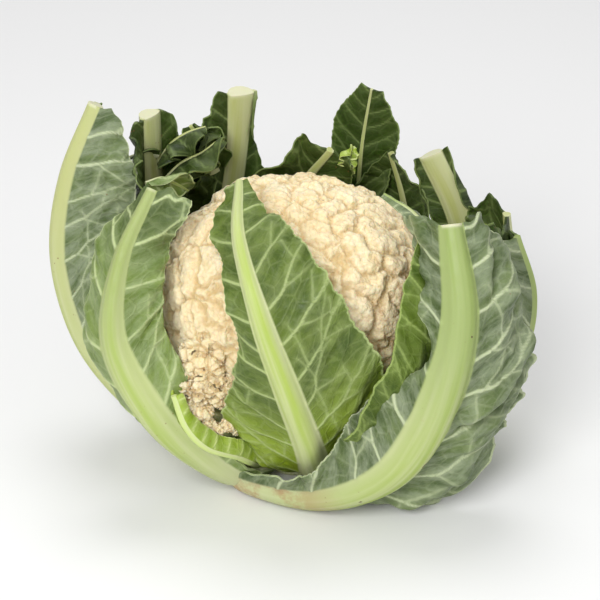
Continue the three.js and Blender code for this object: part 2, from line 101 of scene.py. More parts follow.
# route is the midrib from base to tip as (azimuth, latitude, standoff) about the curd; the other
# lists are spread evenly over the leaf's length. rib is the midrib's full width; each half of the
# blade has its width, its lean towards the curd at the midrib and its further curl; roll turns
# the whole leaf about its midrib and sweep leans the blade towards the tip. gap is the least
# standoff from the curd, ruffle is (height, waves, phase), vein is the distance between side
# veins, fold is the height of the blade's slack folds and cut the raggedness of its trimmed top.
# forks is how many times a side vein branches and spacing the distance between points. marks are
# scars on the midrib, as (share along, share across, length, width), and creases are sharp folds
# from (share along, share across the blade) to the same at their other end, and their depth.
LEAVES = {
    "leaf_front": dict(
        look="young", spacing=0.9, forks=1, gap=2, ruffle=(1.5, 5, 0), vein=20, fold=1.6, cut=1,
        route=[(28, -82, 32), (14, -61, 30), (5, -35, 13), (-3, -6, 10), (-12, 21, 15),
               (-28, 46, 16), (-68, 67, 15)],
        rib=(18, 17, 15, 14, 13, 11, 8, 6, 4),
        left=blade_half((4, 24, 38, 34, 20, 12, 11, 15, 10), 4),
        right=blade_half((4, 22, 40, 46, 42, 36, 30, 15, 2), 4)),
    "leaf_lower_left": dict(
        look="bright", gap=1.5, ruffle=(1.2, 3, 0), vein=9, fold=1, cut=1,
        route=[(-24, -80, 16), (-31, -69, 32), (-28, -45, 23), (-34, -33, 25), (-39, -24, 23),
               (-43, -14, 18)],
        rib=(7, 6, 5, 4, 3),
        left=blade_half((3, 8, 8, 10, 12, 9, 3), 10, 20),
        right=blade_half((3, 10, 8, 9, 8, 7, 3), 45, 60)),
    "leaf_right_inner": dict(
        look="fresh", forks=1, gap=4.5, ruffle=(1, 3, 2), vein=18, fold=1, cut=1,
        route=[(54, -80, 23), (36, -70, 41), (42, -51, 27), (48, -30, 19), (52, -8, 17),
               (57, 13, 17), (66, 33, 19)],
        rib=(12, 11, 9, 7, 5),
        left=blade_half((4, 18, 34, 38, 32, 24, 6), curl=28),
        right=blade_half((2, 18, 34, 40, 36, 24, 6), curl=25)),
    "leaf_back_low": dict(
        look="shaded", gap=3, ruffle=(4, 4, 0), vein=14, fold=3, cut=2,
        route=[(178, -81, 12), (184, -66, 34), (183, -47, 23), (182, -26, 10), (180, -2, 5),
               (176, 23, 4), (162, 42, 14)],
        rib=(12, 8, 4),
        left=blade_half((1, 14, 26, 32, 32, 26, 14)),
        right=blade_half((1, 14, 26, 32, 34, 28, 16))),
    "leaf_back_pointed": dict(
        look="shaded", gap=3, ruffle=(2, 3, 0), vein=14, fold=2, cut=1,
        route=[(143, -80, 19), (142, -64, 38), (138, -47, 36), (137, -28, 27), (138, -9, 24),
               (141, 11, 23), (143, 29, 27)],
        rib=(10, 7, 3),
        left=blade_half((1, 14, 26, 30, 28, 20, 1)),
        right=blade_half((1, 14, 28, 34, 36, 28, 1))),
    "leaf_back_round": dict(
        look="shaded", gap=8, ruffle=(1, 2, 0), vein=12, fold=1.5, cut=1,
        route=[(164, -82, 29), (159, -61, 37), (157, -41, 26), (158, -18, 17), (157, 5, 17),
               (156, 27, 31), (152, 43, 53)],
        rib=(12, 8, 4, 2.4, 1.2),
        left=blade_half((1, 12, 22, 22, 16, 13, 20, 21, 7), curl=15),
        right=blade_half((1, 12, 22, 20, 12, 9, 15, 17, 6), curl=15)),
    "leaf_back_left": dict(
        look="shaded", gap=8, ruffle=(3, 3, 1), vein=18, fold=3, cut=1,
        route=[(-164, -83, 24), (-157, -62, 36), (-154, -40, 24), (-154, -17, 16),
               (-155, 7, 14), (-157, 30, 24), (-158, 47, 47)],
        rib=(19, 19, 18, 16, 13, 12, 12, 15),
        left=blade_half((1, 12, 24, 30, 26, 15, 4, 1)),
        right=blade_half((1, 12, 24, 28, 28, 28, 22, 6))),
    "leaf_left_crumpled": dict(
        look="shaded", gap=5, ruffle=(6, 5, 1), vein=15, fold=5, cut=4,
        sweep=(20, 20, 20, 15, 0, -15),
        route=[(-127, -83, 17), (-127, -64, 36), (-125, -42, 27), (-125, -20, 19),
               (-125, 3, 19), (-126, 23, 30), (-125, 40, 53)],
        rib=(16, 15, 14, 14, 13),
        left=blade_half((1, 12, 24, 32, 34, 34, 28, 8), 15, 40),
        right=blade_half((1, 16, 32, 42, 50, 54, 34), 15, 50)),
    "leaf_back_right": dict(
        look="shaded", gap=4, ruffle=(3, 3, 2), vein=15, fold=2, cut=1,
        roll=(0, 0, 10, 25, 40, 45),
        route=[(122, -81, 27), (119, -63, 44), (117, -45, 43), (116, -26, 40), (118, -8, 37),
               (122, 10, 33), (130, 28, 36)],
        rib=(16, 16, 16, 15, 13),
        left=blade_half((1, 12, 24, 26, 18, 7, 4, 3), 20, 40),
        right=blade_half((1, 12, 24, 30, 28, 16, 9, 6), 20, 40)),
    "leaf_right_curled": dict(
        look="shaded", gap=9, ruffle=(4, 4, 2), vein=13, fold=3, cut=4,
        route=[(98, -80, 21), (104, -65, 41), (104, -49, 46), (103, -33, 48), (104, -18, 49),
               (105, -2, 48), (105, 15, 48)],
        rib=(12, 8, 5),
        left=blade_half((1, 10, 22, 30, 32, 32, 24), 25, 40),
        right=blade_half((1, 10, 20, 26, 28, 28, 22), 25, 40)),
    "leaf_right": dict(
        look="outer", gap=14, ruffle=(3, 3, 1), vein=18, fold=2, cut=2,
        roll=(0, -10, -20, -20, -20, -20),
        route=[(74, -81, 31), (83, -64, 43), (87, -47, 45), (89, -32, 49), (92, -17, 56),
               (95, -3, 56), (98, 12, 49)],
        rib=(14, 12, 9, 6, 4),
        left=blade_half((1, 8, 22, 32, 36, 34, 26, 8), 20, 40),
        right=blade_half((1, 8, 20, 28, 30, 28, 22, 8), 30, 40)),
    "leaf_left": dict(
        look="pale", spacing=0.95, gap=5, ruffle=(1.5, 4, 0.5), vein=24, fold=1.5, cut=2,
        roll=(0, 5, 15, 25, 35, 40, 40, 35, 30),
        route=[(-53, -84, 28), (-42, -66, 37), (-46, -42, 27), (-52, -20, 26), (-61, 1, 31),
               (-68, 22, 29), (-79, 43, 32)],
        rib=(20, 22, 22, 20, 17, 12, 8, 6),
        left=blade_half((1, 2, 10, 18, 24, 26, 24, 16, 6), (0, 0, 10, 10, 10, 10, 10, 10, 10),
                        (10, 10, 20, 60, 70, 70, 50, 30, 20)),
        right=blade_half((1, 3, 6, 11, 27, 30, 25, 22, 18), (5, 5, 10, 20, 25, 25, 25, 25, 20),
                         (20, 20, 25, 30, 35, 35, 35, 30, 30))),
    "leaf_far_left": dict(
        look="tall", spacing=1.0, gap=12, ruffle=(3, 3, 2), vein=22, fold=3, cut=2,
        roll=(10, 10, 15, 20, 20, 20, 20, 20, 20),
        route=[(-83, -85, 32), (-86, -60, 40), (-88, -36, 36), (-92, -15, 43), (-98, 5, 53),
               (-104, 23, 61), (-112, 39, 74)],
        rib=(18, 20, 20, 18, 17, 16, 14, 12),
        left=blade_half((1, 12, 26, 32, 32, 28, 24, 16, 6), 20),
        right=blade_half((1, 6, 20, 34, 42, 44, 44, 34, 6), (25, 25, 25, 30, 30, 30, 35, 35, 35),
                         (40, 40, 40, 45, 45, 50, 60, 60, 60))),
    "leaf_front_right": dict(
        look="outer", spacing=0.9, gap=9, ruffle=(3, 4, 1), vein=27, fold=3.2, cut=2,
        marks=[(0.535, 0.62, 4.0, 2.0), (0.57, 0.75, 2.0, 1.2), (0.80, 0.55, 1.0, 0.8),
               (0.40, -0.2, 1.3, 1.0), (0.31, 0.8, 6, 2.0), (0.20, 0.7, 5, 2.4)],
        stained=True,
        creases=[(0.60, 0.05, 0.70, 0.98, 7), (0.33, 0.72, 0.52, 0.70, 5),
                 (0.84, 0.15, 0.93, 0.7, 4), (0.80, 0.5, 0.84, 0.98, 3)],
        roll=(0, -5, -10, -15, -22, -30, -36, -40, -40),
        sweep=(25, 25, 20, 12, 8, 12, 20, 25, 25),
        route=[(-39, -84, 33), (-41, -65, 39), (13, -56, 41), (35, -36, 37), (44, -12, 32),
               (51, 12, 34), (60, 36, 40)],
        rib=(18, 20, 22, 23, 23, 22, 19, 16, 11),
        left=blade_half((1, 4, 10, 20, 28, 20, 4, 24, 30), (10, 10, 10, 20, 30, 40, 45, 45, 45),
                        20),
        right=blade_half((1, 4, 13, 28, 45, 54, 50, 40, 10),
                         (-20, -20, -25, -30, -25, -12, 0, 0, 0),
                         (30, 30, 35, 45, 55, 65, 70, 75, 75))),
    # small lobes and torn ends of the leaves above, each on the leaf that node names
    "crumpled_ear": dict(
        node="leaf_left_crumpled", look="shaded", gap=20, ruffle=(1, 1, 0), vein=8, fold=1, cut=0,
        route=[(-127, 30, 34), (-124, 30, 38), (-122, 28, 42), (-122, 25, 46)],
        rib=(3, 2, 1),
        left=blade_half((5, 9, 10, 8, 1)),
        right=blade_half((5, 9, 10, 8, 1))),
    "crumpled_curl": dict(
        node="leaf_left_crumpled", look="shaded", gap=14, ruffle=(6, 2.5, 0), vein=8, fold=4, cut=2,
        route=[(-129, 27, 31), (-131, 34, 33), (-134, 40, 33), (-139, 44, 32)],
        rib=(5, 4, 2),
        left=blade_half((6, 13, 15, 13, 5), 10, 70),
        right=blade_half((6, 13, 15, 13, 5), 10, 70)),
    "crumpled_tuft": dict(
        node="leaf_left_crumpled", look="shaded", gap=6, ruffle=(6, 3, 2), vein=8, fold=4, cut=2,
        route=[(-124, 25, 20), (-128, 34, 20), (-133, 41, 19), (-140, 45, 22)],
        rib=(5, 4, 2),
        left=blade_half((6, 12, 14, 11, 4), 10, 80),
        right=blade_half((6, 14, 18, 15, 5), 10, 60)),
    "back_left_lobe": dict(
        node="leaf_back_left", look="shaded", gap=10, ruffle=(2, 2, 1), vein=10, fold=2, cut=1,
        route=[(-146, 26, 14), (-143, 33, 24), (-140, 37, 32), (-138, 39, 38)],
        rib=(6, 4, 2),
        left=blade_half((6, 12, 13, 11, 3), 10, 60),
        right=blade_half((6, 13, 15, 12, 3), 10, 60)),
    "left_fold": dict(
        node="leaf_left", look="pale", gap=4, ruffle=(1.5, 2, 1), vein=9, fold=1, cut=0,
        route=[(-104, 34, 26), (-109, 37, 21), (-115, 36, 13), (-121, 33, 6)],
        rib=(3, 2, 1),
        left=blade_half((4, 7, 8, 7, 2), 20, 120),
        right=blade_half((4, 8, 10, 8, 2), 0, 60)),
    "low_curl": dict(
        node="leaf_back_low", look="bright", gap=4, ruffle=(3, 3, 0), vein=5, fold=2, cut=2,
        route=[(155, 31, 6), (154, 35, 11), (153, 39, 15), (151, 41, 18)],
        rib=(3, 2, 1),
        left=blade_half((3, 7, 8, 7, 2), 10, 120),
        right=blade_half((3, 6, 8, 7, 2), 10, 120)),
    "right_curl": dict(
        node="leaf_right_curled", look="bright", gap=12, ruffle=(2, 2, 0), vein=7, fold=1, cut=1,
        route=[(96, 12, 24), (99, 16, 30), (101, 15, 36), (102, 9, 40)],
        rib=(3, 2, 1),
        left=blade_half((3, 6, 7, 6, 2), 10, 130),
        right=blade_half((3, 5, 6, 5, 2), 10, 100)),
    "torn_scrap": dict(
        node="leaf_front_right", look="bright", gap=30, ruffle=(1, 2, 0), vein=8, fold=1.5, cut=2,
        route=[(46, -50, 47), (52, -51, 55), (57, -50, 60), (61, -47, 61)],
        rib=(3, 2, 1),
        left=blade_half((4, 6, 6, 5, 2), 10),
        right=blade_half((4, 7, 8, 6, 2), 10)),
    "right_flap": dict(
        node="leaf_right_inner", look="outer", gap=5, ruffle=(1, 1, 0), vein=9, fold=1, cut=0,
        route=[(72, 36, 15), (75, 43, 14), (76, 49, 13), (77, 54, 13)],
        rib=(3, 2, 1),
        left=blade_half((5, 7, 5, 3, 1), curl=20),
        right=blade_half((5, 7, 6, 4, 1), curl=20)),
}

# The loose florets' heads, as centre, radii and the CAD node each belongs to, then the point
# each node's stems grow from, and the ends of one stem that lost its head.
FLORET_HEADS = (
    ((-47, -50, 92), (19, 17, 20), "lower_floret_left"),
    ((-55, -55, 78), (13, 13, 15), "lower_floret_left"),
    ((-40, -56, 80), (13, 12, 15), "lower_floret_left"),
    ((-52, -60, 67), (8, 8, 7), "lower_floret_left"),
    ((-49, -61, 60), (5.5, 5.5, 5), "lower_floret_front"),
    ((-44, -62, 56), (5, 5, 5.5), "lower_floret_front"),
    ((-38, -60, 58), (5.5, 5, 6), "lower_floret_front"),
    ((-35, -57, 63), (5, 5, 5), "lower_floret_front"),
    ((-34, -58, 54), (4.5, 4.5, 4), "lower_floret_front"),
)
FLORET_ROOTS = {"lower_floret_left": (-24, -24, 44), "lower_floret_front": (-22, -28, 38)}
OLIVE_STEM = ((-30, -38, 46), (-41.5, -57, 71))

# Each look is a leaf's colours: the blade's two greens and its waxy bloom, the inner face, the
# veins, and the midrib's two greens, all as linear red, green and blue.
LOOKS = {
    "outer": dict(deep=(0.065, 0.10, 0.03), green=(0.13, 0.18, 0.06), bloom=(0.245, 0.29, 0.18),
                  inner=(0.09, 0.15, 0.02), vein=(0.52, 0.58, 0.36), rib=(0.36, 0.46, 0.11),
                  top=(0.28, 0.37, 0.11), waxy=0.85),
    "pale": dict(deep=(0.12, 0.18, 0.035), green=(0.20, 0.28, 0.06), bloom=(0.27, 0.34, 0.15),
                 inner=(0.12, 0.18, 0.025), vein=(0.50, 0.58, 0.29), rib=(0.38, 0.48, 0.12),
                 top=(0.30, 0.37, 0.12), tip=(0.055, 0.085, 0.022), waxy=0.8),
    "young": dict(deep=(0.055, 0.092, 0.012), green=(0.125, 0.185, 0.022),
                  bloom=(0.18, 0.235, 0.06), inner=(0.16, 0.24, 0.03),
                  vein=(0.40, 0.48, 0.20), rib=(0.40, 0.51, 0.10),
                  base=(0.26, 0.36, 0.018), waxy=0.5),
    "bright": dict(deep=(0.20, 0.30, 0.015), green=(0.32, 0.45, 0.03), bloom=(0.38, 0.48, 0.09),
                   inner=(0.30, 0.42, 0.04), vein=(0.62, 0.70, 0.30), rib=(0.56, 0.67, 0.22),
                   waxy=0.4),
    "fresh": dict(deep=(0.045, 0.08, 0.006), green=(0.095, 0.15, 0.012), bloom=(0.13, 0.185, 0.032),
                  inner=(0.10, 0.15, 0.02), vein=(0.36, 0.46, 0.14), rib=(0.43, 0.54, 0.12),
                  waxy=0.5),
    # The shaded look: the back leaves' blades are painted near-black greens for the shade they sit
    # in, while their midribs keep a lit green.
    "shaded": dict(deep=(0.012, 0.026, 0.003), green=(0.032, 0.055, 0.007),
                 bloom=(0.07, 0.092, 0.036), inner=(0.032, 0.056, 0.006),
                 vein=(0.19, 0.25, 0.085), rib=(0.46, 0.50, 0.16), waxy=0.6),
}
LOOKS["tall"] = dict(LOOKS["outer"], rib=(0.44, 0.50, 0.17), top=(0.48, 0.50, 0.21))
CUT_CREAM = (0.66, 0.66, 0.44)
RIB_CREAM = (0.60, 0.62, 0.38)
RUST = (0.20, 0.09, 0.03)
STAIN = (0.42, 0.25, 0.12)
SCAR = (0.09, 0.045, 0.02)

# ------------------------------------------------------------------ shapes in numbers


def along(values, share):
    """The value at each share of a list spread evenly over a length, on a smooth curve."""
    v = np.atleast_1d(np.asarray(values, float))
    share = np.asarray(share, float)
    if len(v) == 1:
        return np.full(share.shape, v[0])
    x = share * (len(v) - 1)
    i = np.clip(x.astype(int), 0, len(v) - 2)
    t = x - i
    e = np.concatenate([[2 * v[0] - v[1]], v, [2 * v[-1] - v[-2]]])
    a, b, c, d = e[i], e[i + 1], e[i + 2], e[i + 3]
    return 0.5 * (2 * b + (c - a) * t + (2 * a - 5 * b + 4 * c - d) * t**2
                  + (3 * b - a - 3 * c + d) * t**3)


def smooth(low, high, x):
    """0 below low, 1 above high, and a smooth step between them."""
    t = np.clip((x - low) / (high - low), 0, 1)
    return t * t * (3 - 2 * t)


def level(points, standoff=0.0):
    """1 on the surface that stands off the curd's outline, less inside it, more outside."""
    q = np.abs((points - CURD_CENTRE) / (CURD_RADII + standoff))
    return (q**CURD_POWER).sum(-1) ** (1 / CURD_POWER)


def place(azimuth, latitude, standoff):
    """The point at an azimuth and a latitude about the curd's centre, off the curd's outline."""
    a, b = math.radians(azimuth), math.radians(latitude)
    way = np.array([math.sin(a) * math.cos(b), -math.cos(a) * math.cos(b), math.sin(b)])
    return CURD_CENTRE + way * (1 / level(CURD_CENTRE + way) + standoff)


def even_curve(points, spacing):
    """A smooth curve through the points, as points about one spacing apart, and its length."""
    fine = np.stack([along(column, np.linspace(0, 1, 400)) for column in np.transpose(points)], 1)
    reach = np.concatenate([[0], np.cumsum(np.linalg.norm(np.diff(fine, axis=0), axis=1))])
    count = int(reach[-1] / spacing) + 1
    stops = np.linspace(0, reach[-1], count)
    return np.stack([np.interp(stops, reach, fine[:, k]) for k in range(3)], 1), reach[-1]


def ripple(rng, x, y, wavelength):
    """A smooth random surface between about -1 and 1, made of a few crossing waves."""
    waves = 7
    total = 0.0
    for _ in range(waves):
        heading = rng.uniform(0, math.tau)
        pitch = math.tau / (wavelength * rng.uniform(0.65, 1.5))
        run = (x * math.cos(heading) + y * math.sin(heading)) * pitch
        total = total + np.sin(run + rng.uniform(0, math.tau))
    return total / (1.3 * math.sqrt(waves))


def unit(vectors):
    """The vectors at length 1."""
    return vectors / (np.linalg.norm(vectors, axis=-1, keepdims=True) + 1e-12)


def grid_normals(grid):
    """Unit normals of a grid of points, on the side its outer face has."""
    return unit(np.cross(np.gradient(grid, axis=1), np.gradient(grid, axis=0)))


# ------------------------------------------------------------------ meshes


def mesh_object(name, points, faces, attributes=None):
    """A smooth mesh object in metres, from points in millimetres, with named point values."""
    mesh = bpy.data.meshes.new(name)
    mesh.from_pydata((np.asarray(points) * MM).tolist(), [], [list(face) for face in faces])
    mesh.polygons.foreach_set("use_smooth", [True] * len(mesh.polygons))
    for key, values in (attributes or {}).items():
        layer = mesh.attributes.new(key, "FLOAT", "POINT")
        layer.data.foreach_set("value", np.asarray(values, np.float32).ravel())
    mesh.set_sharp_from_angle(angle=math.radians(70))
    mesh.update()
    piece = bpy.data.objects.new(name, mesh)
    bpy.context.scene.collection.objects.link(piece)
    return piece


def grid_faces(rows, columns, first=0, flip=False):
    """Quads over a grid of points; flip turns them to face the other way."""
    i, j = np.meshgrid(np.arange(rows - 1), np.arange(columns - 1), indexing="ij")
    a = first + (i * columns + j).ravel()
    quads = np.stack([a, a + columns, a + columns + 1, a + 1], 1)
    return quads[:, ::-1] if flip else quads


def ride(piece, slot, *nodes):
    """Hands a finished piece to the frame: it rides on the root and stands for its CAD nodes."""
    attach(piece, "root")
    if nodes:
        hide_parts(*nodes)


# ------------------------------------------------------------------ node trees


class Graph:
    """A material's or a geometry's node tree, written one node at a time."""

    def __init__(self, tree):
        self.tree = tree
        tree.nodes.clear()

    def add(self, kind, inputs=None, **settings):
        node = self.tree.nodes.new(kind)
        for key, value in settings.items():
            setattr(node, key, value)
        for key, value in (inputs or {}).items():
            self.feed(node.inputs[key], value)
        return node

    def feed(self, socket, value):
        if isinstance(value, bpy.types.NodeSocket):
            self.tree.links.new(value, socket)
        else:
            socket.default_value = value

    def maths(self, operation, *values, clamp=False):
        node = self.add("ShaderNodeMath", dict(enumerate(values)), operation=operation)
        node.use_clamp = clamp
        return node.outputs[0]

    def times(self, first, second, clamp=False):
        return self.maths("MULTIPLY", first, second, clamp=clamp)

    def plus(self, first, second):
        return self.maths("ADD", first, second)

    def minus(self, first, second, clamp=False):
        return self.maths("SUBTRACT", first, second, clamp=clamp)

    def over(self, first, second):
        return self.maths("DIVIDE", first, second)

    def power(self, first, second):
        return self.maths("POWER", first, second)

    def vector(self, operation, *values):
        node = self.add("ShaderNodeVectorMath", dict(enumerate(values)), operation=operation)
        return node.outputs[0]

    def scaled(self, vector, factor):
        node = self.add("ShaderNodeVectorMath", {0: vector}, operation="SCALE")
        self.feed(node.inputs["Scale"], factor)
        return node.outputs[0]

    def combine(self, x=0.0, y=0.0, z=0.0):
        return self.add("ShaderNodeCombineXYZ", {0: x, 1: y, 2: z}).outputs[0]

    def step(self, value, low, high, start=0.0, end=1.0):
        """start below low, end above high, and a smooth step between them."""
        node = self.add("ShaderNodeMapRange", interpolation_type="SMOOTHSTEP")
        for key, given in zip(("Value", "From Min", "From Max", "To Min", "To Max"),
                              (value, low, high, start, end)):
            self.feed(node.inputs[key], given)
        return node.outputs["Result"]

    def noise(self, vector, scale, detail=2.0, roughness=0.5):
        inputs = {"Vector": vector, "Scale": scale, "Detail": detail, "Roughness": roughness}
        return self.add("ShaderNodeTexNoise", inputs).outputs[0]

    def voronoi(self, vector, scale, feature="F1", randomness=1.0):
        node = self.add("ShaderNodeTexVoronoi", feature=feature)
        for key, given in (("Vector", vector), ("Scale", scale), ("Randomness", randomness)):
            self.feed(node.inputs[key], given)
        return node.outputs["Distance"]

    # the rest are for materials only

    def mix(self, factor, first, second):
        node = self.add("ShaderNodeMix", data_type="RGBA")
        self.feed(node.inputs[0], factor)
        for socket, colour in ((node.inputs[6], first), (node.inputs[7], second)):
            self.feed(socket, (*colour, 1.0) if isinstance(colour, tuple) else colour)
        return node.outputs[2]

    def attribute(self, name):
        return self.add("ShaderNodeAttribute", attribute_name=name).outputs["Fac"]

    def place(self):
        return self.add("ShaderNodeTexCoord").outputs["Object"]


def new_material(name):
    """An empty material and the graph to fill it with."""
    material = bpy.data.materials.new(name)
    material.use_nodes = True
    return material, Graph(material.node_tree)


def finish_material(graph, colour, roughness, height, rise, **sockets):
    """Ends a material in a principled shader, with height in units of rise as its bump."""
    bump = graph.add("ShaderNodeBump", {"Height": height, "Strength": 1.0, "Distance": rise})
    shader = graph.add("ShaderNodeBsdfPrincipled")
    graph.feed(shader.inputs["Base Color"], colour)
    graph.feed(shader.inputs["Roughness"], roughness)
    graph.feed(shader.inputs["Normal"], bump.outputs[0])
    graph.feed(shader.inputs["Subsurface Scale"], 1.0)
    for key, value in sockets.items():
        graph.feed(shader.inputs[key.replace("_", " ")], value)
    output = graph.add("ShaderNodeOutputMaterial")
    graph.tree.links.new(shader.outputs[0], output.inputs["Surface"])


# ------------------------------------------------------------------ leaf material


def net_veins(graph, along, across, cell):
    """1 on the net of fine veins between the side veins, in cells of that size."""
    x = graph.times(graph.plus(along, across), 0.4 / cell)
    y = graph.times(graph.minus(along, across), 0.8 / cell)
    edge = graph.voronoi(graph.combine(x, y), 1.0, "DISTANCE_TO_EDGE", 0.9)
    return graph.step(edge, 0.01, 0.09, 1.0, 0.0)


def blade_colour(g, look, place_, parts):
    """Green of the blade: patches, waxy bloom, darker inner face, pale veins and rim."""
    along, across = parts["along"], parts["across"]
    net = net_veins(g, along, across, 7.5)
    fine = net_veins(g, along, across, 2.6)
    grain = g.combine(g.times(g.plus(along, across), 0.03),
                      g.times(g.minus(along, across), 0.11))
    brushed = g.step(g.noise(grain, 1.0, 4.0, 0.62), 0.36, 0.66)
    patches = g.step(g.noise(place_, 38.0, 4.0, 0.6), 0.38, 0.64)
    mottle = g.step(g.noise(place_, 260.0, 3.0, 0.65), 0.42, 0.66)
    green = g.mix(patches, look["deep"], look["green"])
    bloom = g.times(brushed, look["waxy"])
    green = g.mix(bloom, green, look["bloom"])
    green = g.mix(g.times(mottle, 0.22), green, look["deep"])
    green = g.mix(g.times(parts["inner"], 0.8), green, look["inner"])
    if "base" in look:
        green = g.mix(g.step(parts["share"], 0.2, 0.5, 0.85, 0.0), green, look["base"])
    if "tip" in look:
        green = g.mix(g.step(parts["share"], 0.80, 0.95, 0.0, 0.85), green, look["tip"])
    near = g.step(parts["gap"], 0.5, 3.5, 0.14, 0.0)
    green = g.mix(near, green, look["vein"])
    green = g.mix(g.times(fine, 0.05), green, look["vein"])
    green = g.mix(g.times(net, 0.11), green, look["vein"])
    green = g.mix(g.times(parts["core"], 0.95), green, look["vein"])
    rim = g.step(parts["blade"], 0.965, 0.985, 0.0, 0.75)
    return g.mix(rim, green, look["vein"]), bloom, net, fine


def rib_colour(g, look, parts, stained):
    """Green of the midrib: paler edges and base, and a few long soft streaks."""
    along, across = parts["along"], parts["rib_across"]
    coords = g.combine(g.times(along, 0.006), g.times(across, 0.16))
    streak = g.noise(coords, 1.0, 3.0, 0.55)
    rib = g.mix(g.step(streak, 0.38, 0.66, 0.0, 0.6), look["rib"], RIB_CREAM)
    edge = g.power(g.maths("ABSOLUTE", parts["rib_share"]), 3.0)
    rib = g.mix(g.times(edge, 0.5), rib, RIB_CREAM)
    if "top" in look:
        rib = g.mix(g.step(parts["share"], 0.5, 0.85, 0.0, 0.75), rib, look["top"])
    rib = g.mix(g.step(parts["share"], 0.05, 0.45, 0.8, 0.0), rib, RIB_CREAM)
    if stained:
        smear = g.step(g.noise(parts["place"], 42.0, 5.0, 0.7), 0.40, 0.60)
        smear = g.times(smear, g.step(parts["share"], 0.22, 0.40, 0.85, 0.0))
        rib = g.mix(smear, rib, STAIN)
    return rib, streak


def leaf_material(name, look, stained=False):
    """Waxy green blade with pale forking veins and a streaked midrib."""
    material, g = new_material(name)
    names = dict(along="blade_along", across="blade_across", vein="vein", gap="vein_gap",
                 blade="blade_share", inner="inner_face", share="leaf_share",
                 rib_across="rib_across", rib_share="rib_share", distance="rib_distance")
    parts = {key: g.attribute(each) for key, each in names.items()}
    parts["place"] = g.place()
    parts["across"] = g.maths("ABSOLUTE", parts["across"])
    core = g.step(parts["vein"], 0.40, 0.95)
    parts["core"] = g.times(core, g.attribute("vein_strength"))
    green, bloom, net, fine = blade_colour(g, look, parts["place"], parts)
    rib, streak = rib_colour(g, look, parts, stained)
    on_rib = g.step(parts["distance"], 0.1, 1.0, 1.0, 0.0)
    colour = g.mix(on_rib, green, rib)
    colour = g.mix(g.attribute("cut_face"), colour, CUT_CREAM)

    speck = g.step(g.voronoi(parts["place"], 240.0), 0.05, 0.15, 1.0, 0.0)
    rare = g.step(g.noise(parts["place"], 26.0, 3.0, 0.7), 0.57, 0.66, 0.0, 0.75)
    colour = g.mix(g.times(speck, rare), colour, RUST)
    scuff = g.step(g.noise(parts["place"], 95.0, 5.0, 0.75), 0.66, 0.76, 0.0, 0.5)
    colour = g.mix(g.times(scuff, on_rib), colour, STAIN)
    mark = g.times(g.attribute("mark"), g.noise(parts["place"], 500.0, 3.0, 0.7))
    colour = g.mix(g.step(mark, 0.18, 0.34, 0.0, 0.95), colour, SCAR)

    height = g.plus(g.times(net, 0.16), g.times(fine, 0.07))
    side = g.minus(1.0, g.times(parts["inner"], 1.6))
    height = g.times(g.times(height, side),
                     g.minus(1.0, on_rib))
    height = g.plus(height, g.times(g.times(streak, on_rib), 0.4))
    height = g.plus(height, g.times(g.noise(parts["place"], 800.0, 2.0), 0.05))
    roughness = g.plus(0.42, g.times(bloom, 0.25))
    finish_material(g, colour, roughness, height, 0.0011, Subsurface_Weight=0.1,
                    Subsurface_Radius=(0.004, 0.006, 0.0015),
                    Specular_IOR_Level=0.28)
    return material


# ------------------------------------------------------------------ leaves


def leaf_frame(plan):
    """Rows along the midrib: points, shares, three directions, and the midrib's length."""
    spacing = plan.get("spacing", POINT_SPACING)
    spine, length = even_curve([place(*stop) for stop in plan["route"]], spacing)
    share = np.linspace(0, 1, len(spine))
    tangent = unit(np.gradient(spine, axis=0))
    out = spine - CURD_CENTRE
    out = unit(out - (out * tangent).sum(1)[:, None] * tangent)
    side = np.cross(tangent, out)
    roll = np.radians(along(plan.get("roll", USUAL_ROLL), share))[:, None]
    out, side = out * np.cos(roll) + side * np.sin(roll), side * np.cos(roll) - out * np.sin(roll)
    return spine, share, tangent, out, side, length


def half_leaf(plan, half, sign, frame_rows, rng):
    """Points of one half of the middle surface, and where each lies on the flattened blade."""
    spine, share, tangent, out, side, length = frame_rows
    run = share * length
    width = np.maximum(along(half["width"], share), 0.6)
    width = width * (1 + 0.04 * ripple(rng, run, 0, 30) + 0.025 * ripple(rng, run, 0, 11))
    teeth = 0.5 - np.abs((run / 4.2 + 0.9 * ripple(rng, run, 0, 20)) % 1 - 0.5)
    width = width + 1.3 * teeth * smooth(2, 12, width)
    lean = np.radians(along(half["lean"], share))[:, None]
    curl = np.radians(along(half["curl"], share))[:, None] + 1e-4
    sweep = np.radians(along(plan.get("sweep", USUAL_SWEEP), share))[:, None]
    swept = sign * side * np.cos(sweep) + tangent * np.sin(sweep)
    half_rib = along(plan["rib"], share) / 2
    across_rib = np.linspace(0, 1, RIB_COLUMNS + 1)
    rib = spine[:, None] + (across_rib * half_rib[:, None])[..., None] * (sign * side)[:, None]
    columns = max(8, int(max(half["width"]) / plan.get("spacing", POINT_SPACING)))
    x = np.linspace(0, 1, columns + 1)[1:]
    across = (np.sin(lean + curl * x) - np.sin(lean)) / curl * width[:, None]
    inward = (np.cos(lean + curl * x) - np.cos(lean)) / curl * width[:, None]
    blade = rib[:, -1:] + across[..., None] * swept[:, None] + inward[..., None] * out[:, None]
    distance = x * width[:, None]
    none = np.zeros_like(rib[..., 0])
    return dict(
        points=np.concatenate([rib, blade], 1),
        distance=np.concatenate([none, distance], 1),
        blade=np.concatenate([none, x + 0 * distance], 1),
        along=np.concatenate([none + run[:, None], run[:, None] + distance * np.sin(sweep)], 1),
        across=np.concatenate([none, distance * np.cos(sweep)], 1),
        rib_across=sign * np.concatenate([across_rib * half_rib[:, None],
                                          half_rib[:, None] + 0 * distance], 1),
        rib_fade=np.concatenate([none, distance / np.clip(half_rib / 5, 0.3, 2)[:, None]], 1),
        rib_share=sign * np.concatenate([across_rib + none, 1 + 0 * distance], 1))


